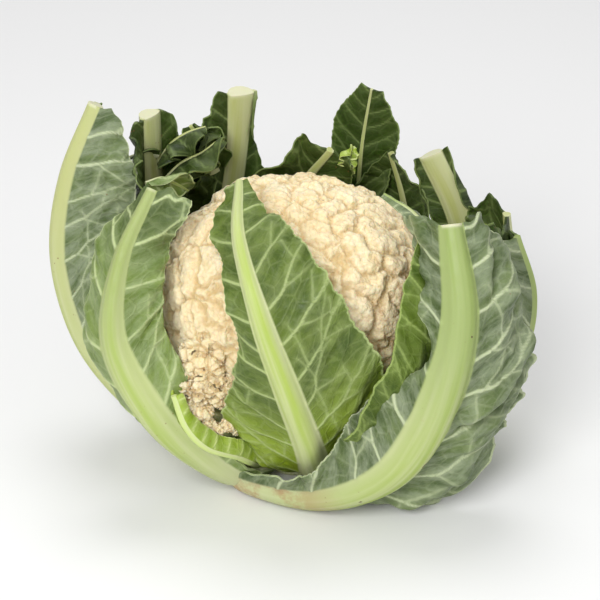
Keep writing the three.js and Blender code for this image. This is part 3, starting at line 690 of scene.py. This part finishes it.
def side_veins(plan, length, rng):
    """The side veins of one half, as rows of run along, distance across and half width."""
    buds = []
    start = length * 0.04 + rng.uniform(0, plan["vein"])
    while start < length:
        heading = rng.uniform(0.8, 1.15)
        buds.append((start, 0.0, heading, plan["vein"] ** 0.5 * rng.uniform(0.21, 0.29), 0))
        start += plan["vein"] * rng.uniform(0.65, 1.25)
    rows = []
    while buds:
        x, y, heading, half, order = buds.pop()
        goal = rng.uniform(0.35, 0.75) if order == 0 else heading + rng.uniform(-0.5, 0.3)
        fade = 62 if order == 0 else 30
        fork, way = rng.uniform(9, 18), rng.choice((-1, 1))
        while half > 0.28 and 0 <= y < 80 and -10 < x < length + 60:
            rows.append((x, y, half))
            x += VEIN_STEP * math.cos(heading)
            y += VEIN_STEP * math.sin(heading)
            heading += (goal - heading) * VEIN_STEP / 30 + rng.normal(0, 0.03)
            half *= 1 - VEIN_STEP / fade
            fork -= VEIN_STEP
            if fork < 0 and order < plan.get("forks", USUAL_FORKS):
                buds.append((x, y, heading + way * rng.uniform(0.45, 0.85), half * 0.62, order + 1))
                heading -= way * 0.16
                way, fork = -way, rng.uniform(8, 17)
    return rows


def vein_fields(values, rows):
    """How far each point of a half blade is from the nearest side vein, and that vein's width."""
    tree = KDTree(len(rows))
    for index, (x, y, _) in enumerate(rows):
        tree.insert((x, y, 0), index)
    tree.balance()
    spots = np.stack([values["along"].ravel(), values["across"].ravel()], 1).tolist()
    found = [tree.find((x, y, 0))[1:] for x, y in spots]
    gap = np.array([each[1] for each in found]).reshape(values["along"].shape)
    half = np.array([rows[each[0]][2] for each in found]).reshape(values["along"].shape)
    return gap, half


def crease_lift(values, share, creases):
    """A sharp valley with a swell beside it, along each crease of the blade."""
    signed = values["blade"] * np.sign(values["rib_across"])
    spots = np.stack([values["along"], values["signed"]], -1)
    lift = np.zeros_like(share)
    for start_share, start_blade, end_share, end_blade, depth in creases:
        ends = []
        for at in ((start_share, start_blade), (end_share, end_blade)):
            miss = np.abs(share - at[0]) * 4 + np.abs(signed - at[1])
            ends.append(spots[np.unravel_index(miss.argmin(), miss.shape)])
        line = ends[1] - ends[0]
        length = np.linalg.norm(line)
        offset = spots - ends[0]
        t = (offset @ line) / length**2
        q = (offset[..., 0] * line[1] - offset[..., 1] * line[0]) / length
        q = q + 2.2 * np.sin(t * 5)
        window = smooth(-0.12, 0.2, t) * (1 - smooth(0.85, 1.25, t))
        valley = -np.exp(-((q / 3.2) ** 2))
        swell = 0.85 * np.exp(-(((q - 8) / 5.5) ** 2)) + 0.3 * np.exp(-(((q + 8) / 6) ** 2))
        lift = lift + depth * window * (valley + swell)
    return lift * smooth(0, 9, values["distance"])


def settle(plan, values, share, rng):
    """Folds, blisters and ruffles, and then the leaf pushed clear of the curd."""
    grid = values["points"]
    blade, distance = values["blade"], values["distance"]
    run, across = values["along"], values["signed"]
    height, waves, phase = plan["ruffle"]
    turn = math.tau * waves * share + phase + 1.3 * np.sign(across)
    lift = height * blade**1.6 * np.sin(turn) * np.minimum(1, share * 4)
    slack = smooth(0, 20, distance)
    fold = plan["fold"]
    lift = lift + 0.8 * fold * slack * ripple(rng, run, across, 60)
    u = (run + np.abs(across)) * 0.35
    v = run - np.abs(across)
    lift = lift + 0.7 * fold * slack * ripple(rng, u, v, 24)
    lift = lift + 0.35 * fold * slack * ripple(rng, u, v, 12)
    lift = lift + 0.55 * height * blade**3 * ripple(rng, run, across, 18)
    puff = 1 - np.exp(-((values["gap"] / 5.5) ** 2))
    lift = lift - smooth(1, 9, distance) * puff * (1.5 + 0.6 * ripple(rng, run, across, 14))
    lift = lift + 0.18 * slack * ripple(rng, run, across, 6)
    lift = lift + crease_lift(values, share, plan.get("creases", ()))
    grid = grid + grid_normals(grid) * lift[..., None]
    at = level(grid, plan["gap"])[..., None]
    pushed = 0.5 * (at + 1 + np.sqrt((at - 1) ** 2 + PUSH_SOFTNESS))
    return CURD_CENTRE + (grid - CURD_CENTRE) * pushed / at


def leaf_values(plan, rng):
    """The whole middle surface of a leaf, left half, midrib and right half, with its values."""
    rows = leaf_frame(plan)
    halves = []
    for key, sign in (("left", -1), ("right", 1)):
        half = half_leaf(plan, plan[key], sign, rows, rng)
        half["gap"], half["half"] = vein_fields(half, side_veins(plan, rows[5], rng))
        halves.append(half)
    left, right = halves
    values = {key: np.concatenate([left[key][:, :0:-1], right[key]], 1) for key in left}
    share = rows[1][:, None] + 0 * values["distance"]
    ragged = smooth(0.86, 1, share) * plan["cut"] * smooth(0, 5, values["distance"])
    signed = values["signed"] = values["across"] * np.sign(values["rib_across"])
    slip = ragged * (1.2 * ripple(rng, signed, 0, 22) + 0.6 * ripple(rng, signed, 0, 8))
    values["points"] = values["points"] + rows[2][:, None] * slip[..., None]
    values["points"] = settle(plan, values, share, rng)
    values["share"], values["length"] = share, rows[5]
    return values


def grid_ring(rows, columns):
    """The point numbers round the edge of a grid, in order."""
    return np.concatenate([np.arange(columns), np.arange(1, rows) * columns + columns - 1,
                           (rows - 1) * columns + np.arange(columns - 2, -1, -1),
                           np.arange(rows - 2, 0, -1) * columns])


def leaf_piece(name, plan, settings):
    """A closed leaf: outer face with its raised midrib and veins, inner face, edge and cut."""
    rng = np.random.default_rng(settings.seed + list(LEAVES).index(name))
    values = leaf_values(plan, rng)
    grid = values["points"]
    normals = grid_normals(grid)
    half_rib = along(plan["rib"], values["share"]) / 2
    tau = np.abs(values["rib_share"])
    crown = (1 - tau**2.2) ** 0.62
    fillet = 0.2 * np.exp(-values["distance"] / (0.45 * half_rib)) * (tau >= 1)
    flutes = 0.02 * np.cos(values["rib_across"] * 2.1) * (1 - tau)
    rib_rise = half_rib * settings.rib_height * np.maximum(crown + flutes, fillet)
    sheet = settings.blade_thickness / MM / 2 * (1 - 0.5 * values["blade"])
    broad = np.maximum(values["half"], 1.0)
    strength = np.clip(values["half"] / 1.1, 0.3, 1) * smooth(0, 1.2, values["distance"])
    vein = np.exp(-((values["gap"] / broad) ** 2))
    ridge = 0.7 * values["half"] * vein * strength
    outer = grid + normals * (sheet + rib_rise + ridge)[..., None]
    inner = grid - normals * (sheet + 0.25 * half_rib * settings.rib_height * crown
                              - 0.4 * ridge)[..., None]
    outer[..., 2] = np.maximum(outer[..., 2], FLOOR_CLEARANCE)
    inner[..., 2] = np.maximum(inner[..., 2], FLOOR_CLEARANCE + 2 * sheet)
    rows, columns = values["share"].shape
    size = rows * columns
    points = np.concatenate([outer.reshape(-1, 3), inner.reshape(-1, 3)])
    ring = grid_ring(rows, columns)
    following = np.roll(ring, -1)
    strip = np.stack([following, ring, ring + size, following + size], 1)
    faces = np.concatenate([grid_faces(rows, columns, 0, True), grid_faces(rows, columns, size),
                            strip])
    cut = smooth(0.992, 0.998, values["share"]) * smooth(2, 4, half_rib) * (tau < 1)
    mark = np.zeros_like(vein)
    for at, across, long, wide in plan.get("marks", ()):
        away = ((values["share"] - at) * values["length"] / long) ** 2
        away = away + ((values["rib_share"] - across) * half_rib / wide) ** 2
        mark = np.maximum(mark, np.exp(-away) * (tau < 1))
    once = {
        "blade_along": values["along"], "blade_across": values["signed"], "vein": vein,
        "vein_gap": np.minimum(values["gap"], VEIN_REACH), "blade_share": values["blade"],
        "rib_distance": values["rib_fade"], "rib_across": values["rib_across"],
        "rib_share": values["rib_share"], "leaf_share": values["share"], "cut_face": cut,
        "vein_strength": strength, "mark": mark,
    }
    attributes = {key: np.tile(each.ravel(), 2) for key, each in once.items()}
    attributes["inner_face"] = np.repeat([0, 1], size)
    return mesh_object(name + "_blade", points, faces.tolist(), attributes)


# ------------------------------------------------------------------ curd and florets


def curd_material(name="Curd", browned=1.0, hole_shade=0.0):
    """Cream curd: finely grained buds with painted tan shade in the cracks and valleys between
    them, painted black shade in the deepest gaps of loose florets, and a browned patch.
    """
    material, g = new_material(name)
    place_ = g.place()
    valley, bud, grain = g.attribute("valley"), g.attribute("bud_gap"), g.attribute("grain_gap")
    patches = g.step(g.noise(place_, 30.0, 4.0, 0.6), 0.35, 0.68)
    cream = g.mix(patches, (0.93, 0.80, 0.54), (0.88, 0.72, 0.44))
    # painted shade: thin tan lines on a net of cells, broken here and there, stand in for the shade
    # in the fine cracks between buds
    cracks = g.voronoi(place_, 170.0, "DISTANCE_TO_EDGE")
    broken = g.step(g.noise(place_, 60.0, 3.0, 0.6), 0.5, 0.64, 0.0, 0.3)
    cream = g.mix(g.times(g.step(cracks, 0.0, 0.07, 1.0, 0.0), broken), cream,
                  (0.60, 0.40, 0.16))
    # painted shade: the cream turns tan with the depth of the grain, bud and lobe gaps, where shade
    # falls in the crevices
    cream = g.mix(g.step(grain, 0.35, 0.9, 0.0, 0.15), cream, (0.74, 0.56, 0.27))
    cream = g.mix(g.step(bud, 0.6, 0.95, 0.0, 0.3), cream, (0.72, 0.53, 0.24))
    cream = g.mix(g.step(valley, 0.6, 0.95, 0.0, 0.65), cream, (0.60, 0.41, 0.16))
    away = g.vector("SUBTRACT", place_, BROWNED_PATCH)
    reach = g.add("ShaderNodeVectorMath", {0: away}, operation="LENGTH").outputs["Value"]
    patch = g.step(reach, 0.014, 0.040, browned, 0.0)
    blush = g.step(g.noise(place_, 110.0, 5.0, 0.75), 0.47, 0.66, 0.0, 0.55)
    cream = g.mix(g.times(blush, patch), cream, (0.50, 0.26, 0.10))
    speck = g.step(g.voronoi(place_, 420.0), 0.05, 0.2, 1.0, 0.0)
    rare = g.step(g.noise(place_, 45.0, 3.0, 0.7), 0.58, 0.68, 0.0, 0.5)
    rare = g.maths("MAXIMUM", rare, g.times(patch, 0.8))
    cream = g.mix(g.times(speck, rare), cream, (0.35, 0.16, 0.05))
    beads = g.voronoi(place_, 380.0)
    # painted shade: the rims between tiny beads are darkened to tan, where the bump below also
    # sinks them
    between = g.step(beads, 0.45, 0.8, 0.0, 0.3)
    cream = g.mix(between, cream, (0.74, 0.54, 0.28))
    # painted shade: near-black spots in the deepest bud gaps stand in for the shadowed holes
    # between a floret's buds
    if hole_shade:
        rarely = g.step(g.noise(place_, 130.0, 2.0, 0.5), 0.52, 0.58)
        deep = g.times(g.step(bud, 0.9, 0.99), rarely)
        cream = g.mix(g.times(deep, hole_shade), cream, (0.07, 0.05, 0.02))
    height = g.minus(1.0, g.voronoi(place_, 900.0))
    height = g.minus(height, g.times(g.power(beads, 2.0), 2.6))
    finish_material(g, cream, 0.6, height, 0.00028, Subsurface_Weight=0.3,
                    Subsurface_Radius=(0.008, 0.005, 0.0025),
                    Specular_IOR_Level=0.35)
    return material


GROWTH_INPUTS = {
    "Centre": "Vector", "Radii": "Vector", "Squareness": "Float", "Points Across": "Int",
    "Lobes": "Int", "Lobe Depth": "Float", "Cluster Depth": "Float", "Bud Size": "Float",
    "Bud Depth": "Float", "Grain Size": "Float", "Grain Depth": "Float", "Foot": "Float",
    "Seed": "Int",
}


def round_ball(g, across):
    """A ball of even squares, and the direction of each of its points from its middle."""
    cube = g.add("GeometryNodeMeshCube", {"Size": (2.0, 2.0, 2.0), "Vertices X": across,
                                          "Vertices Y": across, "Vertices Z": across})
    flat = g.add("ShaderNodeSeparateXYZ", {0: g.add("GeometryNodeInputPosition").outputs[0]})
    even = [g.maths("TANGENT", g.times(flat.outputs[k], math.pi / 4)) for k in range(3)]
    way = g.vector("NORMALIZE", g.combine(*even))
    ball = g.add("GeometryNodeSetPosition", {"Geometry": cube.outputs["Mesh"], "Position": way})
    return ball.outputs[0]


def store(g, geometry, name, value):
    """The geometry with a named value on each point."""
    inputs = {"Geometry": geometry, "Name": name, "Value": value}
    return g.add("GeometryNodeStoreNamedAttribute", inputs, domain="POINT").outputs[0]


def adrift(g, vector, scale, reach):
    """The vector moved about by a noise of that scale, by up to half that reach."""
    wander = g.add("ShaderNodeTexNoise", {"Vector": vector, "Scale": scale})
    middle = g.vector("SUBTRACT", wander.outputs["Color"], (0.5, 0.5, 0.5))
    return g.vector("ADD", vector, g.scaled(middle, reach))


def bud_layer(g, geometry, size, depth, name):
    """Sinks the surface between rounded buds of that size, along its own normals."""
    position = g.add("GeometryNodeInputPosition").outputs[0]
    normal = g.add("GeometryNodeInputNormal").outputs[0]
    scale = g.over(1.0, size)
    gap = g.voronoi(adrift(g, position, g.times(scale, 0.6), g.times(size, 0.4)), scale)
    gap = g.times(g.times(gap, gap), 1.5, clamp=True)
    geometry = store(g, geometry, name, gap)
    named = g.add("GeometryNodeInputNamedAttribute", {"Name": name}, data_type="FLOAT").outputs[0]
    sink = g.scaled(normal, g.times(g.times(named, depth), -1.0))
    moved = g.add("GeometryNodeSetPosition", {"Geometry": geometry, "Offset": sink})
    return moved.outputs[0]


def growth_tree(material):
    """Geometry nodes that grow a curd: lobes with cracks between, buds on them, grains on those."""
    tree = bpy.data.node_groups.new("Curd Growth", "GeometryNodeTree")
    g = Graph(tree)
    for name, kind in GROWTH_INPUTS.items():
        tree.interface.new_socket(name, in_out="INPUT", socket_type="NodeSocket" + kind)
    tree.interface.new_socket("Geometry", in_out="OUTPUT", socket_type="NodeSocketGeometry")
    given = g.add("NodeGroupInput").outputs
    ball = round_ball(g, given["Points Across"])
    way = g.add("GeometryNodeInputPosition").outputs[0]
    far = g.vector("ABSOLUTE", g.vector("DIVIDE", way, given["Radii"]))
    axis = g.add("ShaderNodeSeparateXYZ", {0: far})
    powers = [g.power(axis.outputs[k], given["Squareness"]) for k in range(3)]
    total = g.plus(g.plus(powers[0], powers[1]), powers[2])
    reach = g.power(total, g.over(-1.0, given["Squareness"]))

    fine = g.times(g.maths("SQRT", given["Lobes"]), 0.36)
    seeded = g.vector("ADD", way, g.combine(given["Seed"], 0.0, 0.0))
    edge = g.voronoi(adrift(g, seeded, g.times(fine, 1.6), 0.22), fine, "DISTANCE_TO_EDGE")
    flank = g.minus(1.0, g.over(edge, 0.26), clamp=True)
    valley = g.power(flank, 2.2)
    height = g.add("ShaderNodeSeparateXYZ", {0: way}).outputs[2]
    dome = g.step(height, g.minus(given["Foot"], 0.3), given["Foot"])
    valley = g.times(valley, dome)
    cluster = g.voronoi(way, 1.7)
    cluster = g.times(g.times(cluster, cluster), 1.6, clamp=True)
    ball = store(g, ball, "valley", valley)
    drop = g.plus(g.times(valley, given["Lobe Depth"]),
                   g.times(g.times(cluster, dome), given["Cluster Depth"]))
    spot = g.vector("ADD", given["Centre"], g.scaled(way, g.minus(reach, drop)))
    curd = g.add("GeometryNodeSetPosition", {"Geometry": ball, "Position": spot}).outputs[0]
    curd = bud_layer(g, curd, given["Bud Size"], given["Bud Depth"], "bud_gap")
    curd = bud_layer(g, curd, given["Grain Size"], given["Grain Depth"], "grain_gap")
    curd = g.add("GeometryNodeSetShadeSmooth", {"Geometry": curd}).outputs[0]
    curd = g.add("GeometryNodeRealizeInstances", {"Geometry": curd}).outputs[0]
    done = g.add("GeometryNodeSetMaterial", {"Geometry": curd, "Material": material}).outputs[0]
    g.add("NodeGroupOutput", {"Geometry": done})
    return tree


def grown_piece(name, tree, values):
    """A piece made by the growth tree, turned into a plain mesh."""
    host = bpy.data.objects.new(name + "_host", bpy.data.meshes.new(name + "_host"))
    bpy.context.scene.collection.objects.link(host)
    modifier = host.modifiers.new("Growth", "NODES")
    modifier.node_group = tree
    for item in tree.interface.items_tree:
        if item.in_out == "INPUT":
            modifier[item.identifier] = values[item.name]
    host.update_tag()
    evaluated = host.evaluated_get(bpy.context.evaluated_depsgraph_get())
    mesh = bpy.data.meshes.new_from_object(evaluated)
    bpy.data.objects.remove(host)
    mesh.name = name
    piece = bpy.data.objects.new(name, mesh)
    bpy.context.scene.collection.objects.link(piece)
    return piece


def growth_values(settings, centre, radii, **changes):
    """The growth tree's inputs for the curd, with any changes."""
    values = {
        "Centre": [float(v) * MM for v in centre], "Radii": [float(v) * MM for v in radii],
        "Squareness": CURD_POWER, "Points Across": CURD_POINTS, "Lobes": settings.lobes,
        "Lobe Depth": settings.lobe_depth, "Cluster Depth": settings.cluster_depth,
        "Bud Size": settings.bud_size, "Bud Depth": settings.bud_depth,
        "Grain Size": settings.grain_size, "Grain Depth": settings.grain_depth,
        "Foot": -0.35, "Seed": settings.seed,
    }
    values.update(changes)
    return values


# ------------------------------------------------------------------ stems and stalk


def flesh_material(name, skin, cream):
    """Pale stem flesh with long streaks, stained a little where it was handled."""
    material, g = new_material(name)
    place_ = g.place()
    mapping = g.add("ShaderNodeMapping", {"Vector": place_, "Scale": (1.0, 1.0, 0.12)})
    streak = g.noise(mapping.outputs[0], 420.0, 3.0, 0.6)
    colour = g.mix(g.step(streak, 0.35, 0.65), skin, cream)
    stain = g.times(g.step(g.noise(place_, 80.0, 5.0, 0.7), 0.58, 0.72), 0.5)
    colour = g.mix(stain, colour, (0.40, 0.25, 0.12))
    height = g.plus(g.times(streak, 0.6), g.noise(place_, 700.0, 3.0))
    finish_material(g, colour, 0.5, height, 0.0005, Subsurface_Weight=0.2,
                    Subsurface_Radius=(0.006, 0.005, 0.002),
                    Specular_IOR_Level=0.4)
    return material


def tube_mesh(route, radii, sides, wobble, rng):
    """Points and faces of a closed tube along a route, with a slightly uneven section."""
    route = np.asarray(route, float)
    tangent = unit(np.gradient(route, axis=0))
    helper = np.array([1.0, 0.0, 0.0]) if abs(tangent[0][0]) < 0.8 else np.array([0.0, 1.0, 0.0])
    a = unit(np.cross(tangent, helper))
    b = np.cross(tangent, a)
    turn = np.linspace(0, math.tau, sides, endpoint=False)
    uneven = 1 + wobble * ripple(rng, np.cos(turn) * 3, np.sin(turn) * 3, 3.0)
    ring = (np.cos(turn)[None, :, None] * a[:, None] + np.sin(turn)[None, :, None] * b[:, None])
    points = route[:, None] + ring * (np.asarray(radii)[:, None] * uneven)[..., None]
    rows = len(route)
    points = np.concatenate([points.reshape(-1, 3), route[:1], route[-1:]])
    pairs = [(j, (j + 1) % sides) for j in range(sides)]
    faces = [[i * sides + j, i * sides + k, (i + 1) * sides + k, (i + 1) * sides + j]
             for i in range(rows - 1) for j, k in pairs]
    last = (rows - 1) * sides
    for j, k in pairs:
        faces += [[rows * sides, k, j], [rows * sides + 1, last + j, last + k]]
    return points, faces


def bend(start, end, sag, steps=14):
    """A route from start to end that bows by sag, down being negative."""
    t = np.linspace(0, 1, steps)[:, None]
    route = np.asarray(start) * (1 - t) + np.asarray(end) * t
    return route + np.array([0, 0, sag]) * 4 * t * (1 - t)


# ------------------------------------------------------------------ settings


def length_setting(name, description, default):
    """A setting in metres."""
    return bpy.props.FloatProperty(
        name=name, description=description, default=default, unit="LENGTH")


class CauliflowerCurdSettings(bpy.types.PropertyGroup):
    lobes: bpy.props.IntProperty(
        name="Lobes", description="Lobes over the whole ball of the curd", default=84, min=8)
    lobe_depth: length_setting(
        "Lobe depth", "How deep the valleys between lobes go", 0.0034)
    cluster_depth: length_setting(
        "Cluster depth", "How far whole groups of lobes stand apart", 0.0035)
    bud_size: length_setting(
        "Bud size", "Width of the buds on a lobe", 0.0062)
    bud_depth: length_setting(
        "Bud depth", "How deep the cracks between buds go", 0.0014)
    grain_size: length_setting(
        "Grain size", "Width of the grains on a bud", 0.0029)
    grain_depth: length_setting(
        "Grain depth", "How deep the gaps between grains go", 0.0006)
    seed: bpy.props.IntProperty(name="Seed", description="Seed of the curd's unevenness", default=4)


class CauliflowerLeafSettings(bpy.types.PropertyGroup):
    blade_thickness: length_setting(
        "Blade thickness", "Thickness of a blade beside its midrib", 0.0015)
    rib_height: bpy.props.FloatProperty(
        name="Midrib height", description="Rise of a midrib against its half width",
        default=0.9, subtype="FACTOR", min=0.2, max=1.5)
    seed: bpy.props.IntProperty(name="Seed", description="Seed of the leaves' folds", default=11)


class CauliflowerStageSettings(bpy.types.PropertyGroup):
    elevation: bpy.props.FloatProperty(
        name="Elevation", description="Height of the camera above the horizon",
        default=math.radians(30), subtype="ANGLE")
    distance: length_setting(
        "Distance", "Distance from the camera to the cauliflower", 1.2)
    field: length_setting(
        "Field width", "Width that the camera sees at the cauliflower", 0.327)
    floor: bpy.props.FloatVectorProperty(
        name="Floor colour", description="Colour of the plain floor", subtype="COLOR",
        default=(0.86, 0.86, 0.86))


# ------------------------------------------------------------------ operators


class CAULIFLOWER_OT_stage(bpy.types.Operator):
    """Set up the floor, the soft lights and the camera"""

    bl_idname = "cauliflower.stage"
    bl_label = "Set up stage"

    def execute(self, context):
        settings = context.scene.cauliflower_stage
        self.add_floor(settings)
        self.add_lights(context)
        self.add_camera(context, settings)
        context.scene.view_settings.view_transform = "Standard"
        return {"FINISHED"}

    def add_floor(self, settings):
        turns = ((-1, -1), (1, -1), (1, 1), (-1, 1))
        corners = [(FLOOR_HALF * x, FLOOR_HALF * y, 0) for x, y in turns]
        floor = mesh_object("stage_floor", corners, [(0, 1, 2, 3)])
        material = bpy.data.materials.new("Floor")
        material.use_nodes = True
        shader = material.node_tree.nodes["Principled BSDF"]
        shader.inputs["Base Color"].default_value = (*settings.floor, 1)
        shader.inputs["Roughness"].default_value = 0.8
        floor.data.materials.append(material)

    def add_lights(self, context):
        world = bpy.data.worlds.new("Studio")
        world.use_nodes = True
        world.node_tree.nodes["Background"].inputs[0].default_value = (1, 1, 1, 1)
        world.node_tree.nodes["Background"].inputs[1].default_value = 0.46
        context.scene.world = world
        self.add_softbox("key", (-0.45, -1.3, 1.15), 0.8, 20)
        self.add_softbox("fill", (1.3, -1.0, 0.9), 1.2, 4)
        self.add_softbox("top", (0.0, 0.5, 1.7), 1.0, 10)

    def add_softbox(self, name, spot, size, watts):
        light = bpy.data.lights.new("light_" + name, "AREA")
        light.shape = "DISK"
        light.size = size
        light.energy = watts
        lamp = bpy.data.objects.new("light_" + name, light)
        lamp.location = spot
        way = Vector((0, 0, 0.1)) - Vector(spot)
        lamp.rotation_euler = way.to_track_quat("-Z", "Y").to_euler()
        bpy.context.scene.collection.objects.link(lamp)

    def add_camera(self, context, settings):
        aim = Vector((0, 0, CAD_BOX[1][2] / 2))
        back = Vector((0, -math.cos(settings.elevation), math.sin(settings.elevation)))
        data = bpy.data.cameras.new("camera")
        data.sensor_width = 36
        data.lens = data.sensor_width * settings.distance / settings.field
        camera = bpy.data.objects.new("camera", data)
        camera.location = aim + back * settings.distance
        camera.rotation_euler = (-back).to_track_quat("-Z", "Y").to_euler()
        context.scene.collection.objects.link(camera)
        context.scene.camera = camera


class CAULIFLOWER_OT_curd(bpy.types.Operator):
    """Grow the domed curd"""

    bl_idname = "cauliflower.curd"
    bl_label = "Grow curd"

    def execute(self, context):
        settings = context.scene.cauliflower_curd
        tree = growth_tree(curd_material())
        piece = grown_piece("curd_dome", tree, growth_values(settings, CURD_CENTRE, CURD_RADII))
        if not piece.data.polygons:
            raise RuntimeError("the curd came out empty")
        ride(piece, "curd", "curd")
        return {"FINISHED"}


class CAULIFLOWER_OT_florets(bpy.types.Operator):
    """Grow the loose florets below the curd, each with its own stem"""

    bl_idname = "cauliflower.florets"
    bl_label = "Grow loose florets"

    def execute(self, context):
        settings = context.scene.cauliflower_curd
        # loose florets: no browned patch, and painted black shade in their deepest gaps
        tree = growth_tree(curd_material("Loose floret", 0.0, 0.9))
        pale = flesh_material("Floret stem", (0.50, 0.56, 0.20), (0.66, 0.68, 0.40))
        olive = flesh_material("Olive stem", (0.24, 0.20, 0.03), (0.36, 0.30, 0.07))
        rng = np.random.default_rng(settings.seed)
        for index, (centre, radii, node) in enumerate(FLORET_HEADS):
            self.grow_head(settings, tree, index, centre, radii, node)
            root = FLORET_ROOTS[node]
            route = bend(root, centre, -4)
            end = min(radii) * 0.55
            widths = np.linspace(min(5, end), end, len(route))
            points, faces = tube_mesh(route, widths, 18, 0.08, rng)
            stem = mesh_object(f"floret_stem_{index}", points, faces)
            stem.data.materials.append(pale)
            ride(stem, "stalk", node)
        points, faces = tube_mesh(bend(*OLIVE_STEM, 0), np.linspace(3.4, 4.2, 14), 18, 0.1, rng)
        stem = mesh_object("floret_stem_bare", points, faces)
        stem.data.materials.append(olive)
        ride(stem, "stalk", "lower_floret_front")
        return {"FINISHED"}

    def grow_head(self, settings, tree, index, centre, radii, node):
        small = min(radii) < 10
        values = growth_values(settings, centre, radii, **{
            "Squareness": 2.0, "Points Across": 26 if small else 66,
            "Lobes": 13 if small else 26, "Lobe Depth": min(radii) * 0.16 * MM,
            "Cluster Depth": min(radii) * 0.16 * MM, "Bud Size": 0.0030 if small else 0.0050,
            "Bud Depth": 0.0008 if small else 0.0013, "Grain Size": 0.0018,
            "Grain Depth": 0.0004, "Foot": -1.5, "Seed": settings.seed + index})
        head = grown_piece(f"floret_head_{index}", tree, values)
        ride(head, "curd", node)


class CAULIFLOWER_OT_stalk(bpy.types.Operator):
    """Cut the stalk that the cauliflower stands on"""

    bl_idname = "cauliflower.stalk"
    bl_label = "Cut stalk"

    def execute(self, context):
        rng = np.random.default_rng(2)
        height = STALK_HIGH[2]
        route = np.stack([np.zeros(30), np.zeros(30), np.linspace(0, height, 30)], 1)
        share = route[:, 2] / height
        radii = STALK_RADIUS * (1 - 0.17 * share**2) - 1.2 * (1 - smooth(0, 0.03, share))
        points, faces = tube_mesh(route, radii, 72, 0.02, rng)
        stalk = mesh_object("stalk_stem", points, faces)
        stalk.data.materials.append(flesh_material("Stalk", (0.50, 0.55, 0.24), (0.70, 0.70, 0.46)))
        ride(stalk, "stalk", "stalk")
        return {"FINISHED"}


class CAULIFLOWER_OT_leaves(bpy.types.Operator):
    """Grow the ring of leaves"""

    bl_idname = "cauliflower.leaves"
    bl_label = "Grow leaves"

    def execute(self, context):
        settings = context.scene.cauliflower_leaf
        for name, plan in LEAVES.items():
            piece = leaf_piece(name, plan, settings)
            stained = plan.get("stained", False)
            material = leaf_material(name.replace("_", " "), LOOKS[plan["look"]], stained)
            piece.data.materials.append(material)
            slot = "inner_leaf" if plan["look"] in ("young", "bright", "fresh") else "leaf"
            ride(piece, slot, plan.get("node", name))
        return {"FINISHED"}


class CAULIFLOWER_PT_panel(bpy.types.Panel):
    """The cauliflower's settings and steps"""

    bl_label = "Cauliflower"
    bl_idname = "CAULIFLOWER_PT_panel"
    bl_space_type = "VIEW_3D"
    bl_region_type = "UI"
    bl_category = "Cauliflower"

    def draw(self, context):
        for name in SETTINGS:
            group, box = getattr(context.scene, name), self.layout.box()
            for key in type(group).__annotations__:
                box.prop(group, key)
        for operator in OPERATORS:
            self.layout.operator(operator.bl_idname)


OPERATORS = (CAULIFLOWER_OT_stage, CAULIFLOWER_OT_curd, CAULIFLOWER_OT_florets,
             CAULIFLOWER_OT_stalk, CAULIFLOWER_OT_leaves)
SETTINGS = {"cauliflower_stage": CauliflowerStageSettings,
            "cauliflower_curd": CauliflowerCurdSettings,
            "cauliflower_leaf": CauliflowerLeafSettings}
CLASSES = (*SETTINGS.values(), *OPERATORS, CAULIFLOWER_PT_panel)


def register():
    for each in CLASSES:
        bpy.utils.register_class(each)
    for key, group in SETTINGS.items():
        setattr(bpy.types.Scene, key, bpy.props.PointerProperty(type=group))


def unregister():
    for key in SETTINGS:
        delattr(bpy.types.Scene, key)
    for each in reversed(CLASSES):
        bpy.utils.unregister_class(each)


def main():
    register()
    bpy.ops.cauliflower.stage()
    bpy.ops.cauliflower.curd()
    bpy.ops.cauliflower.florets()
    bpy.ops.cauliflower.stalk()
    bpy.ops.cauliflower.leaves()


if __name__ == "__main__":
    main()
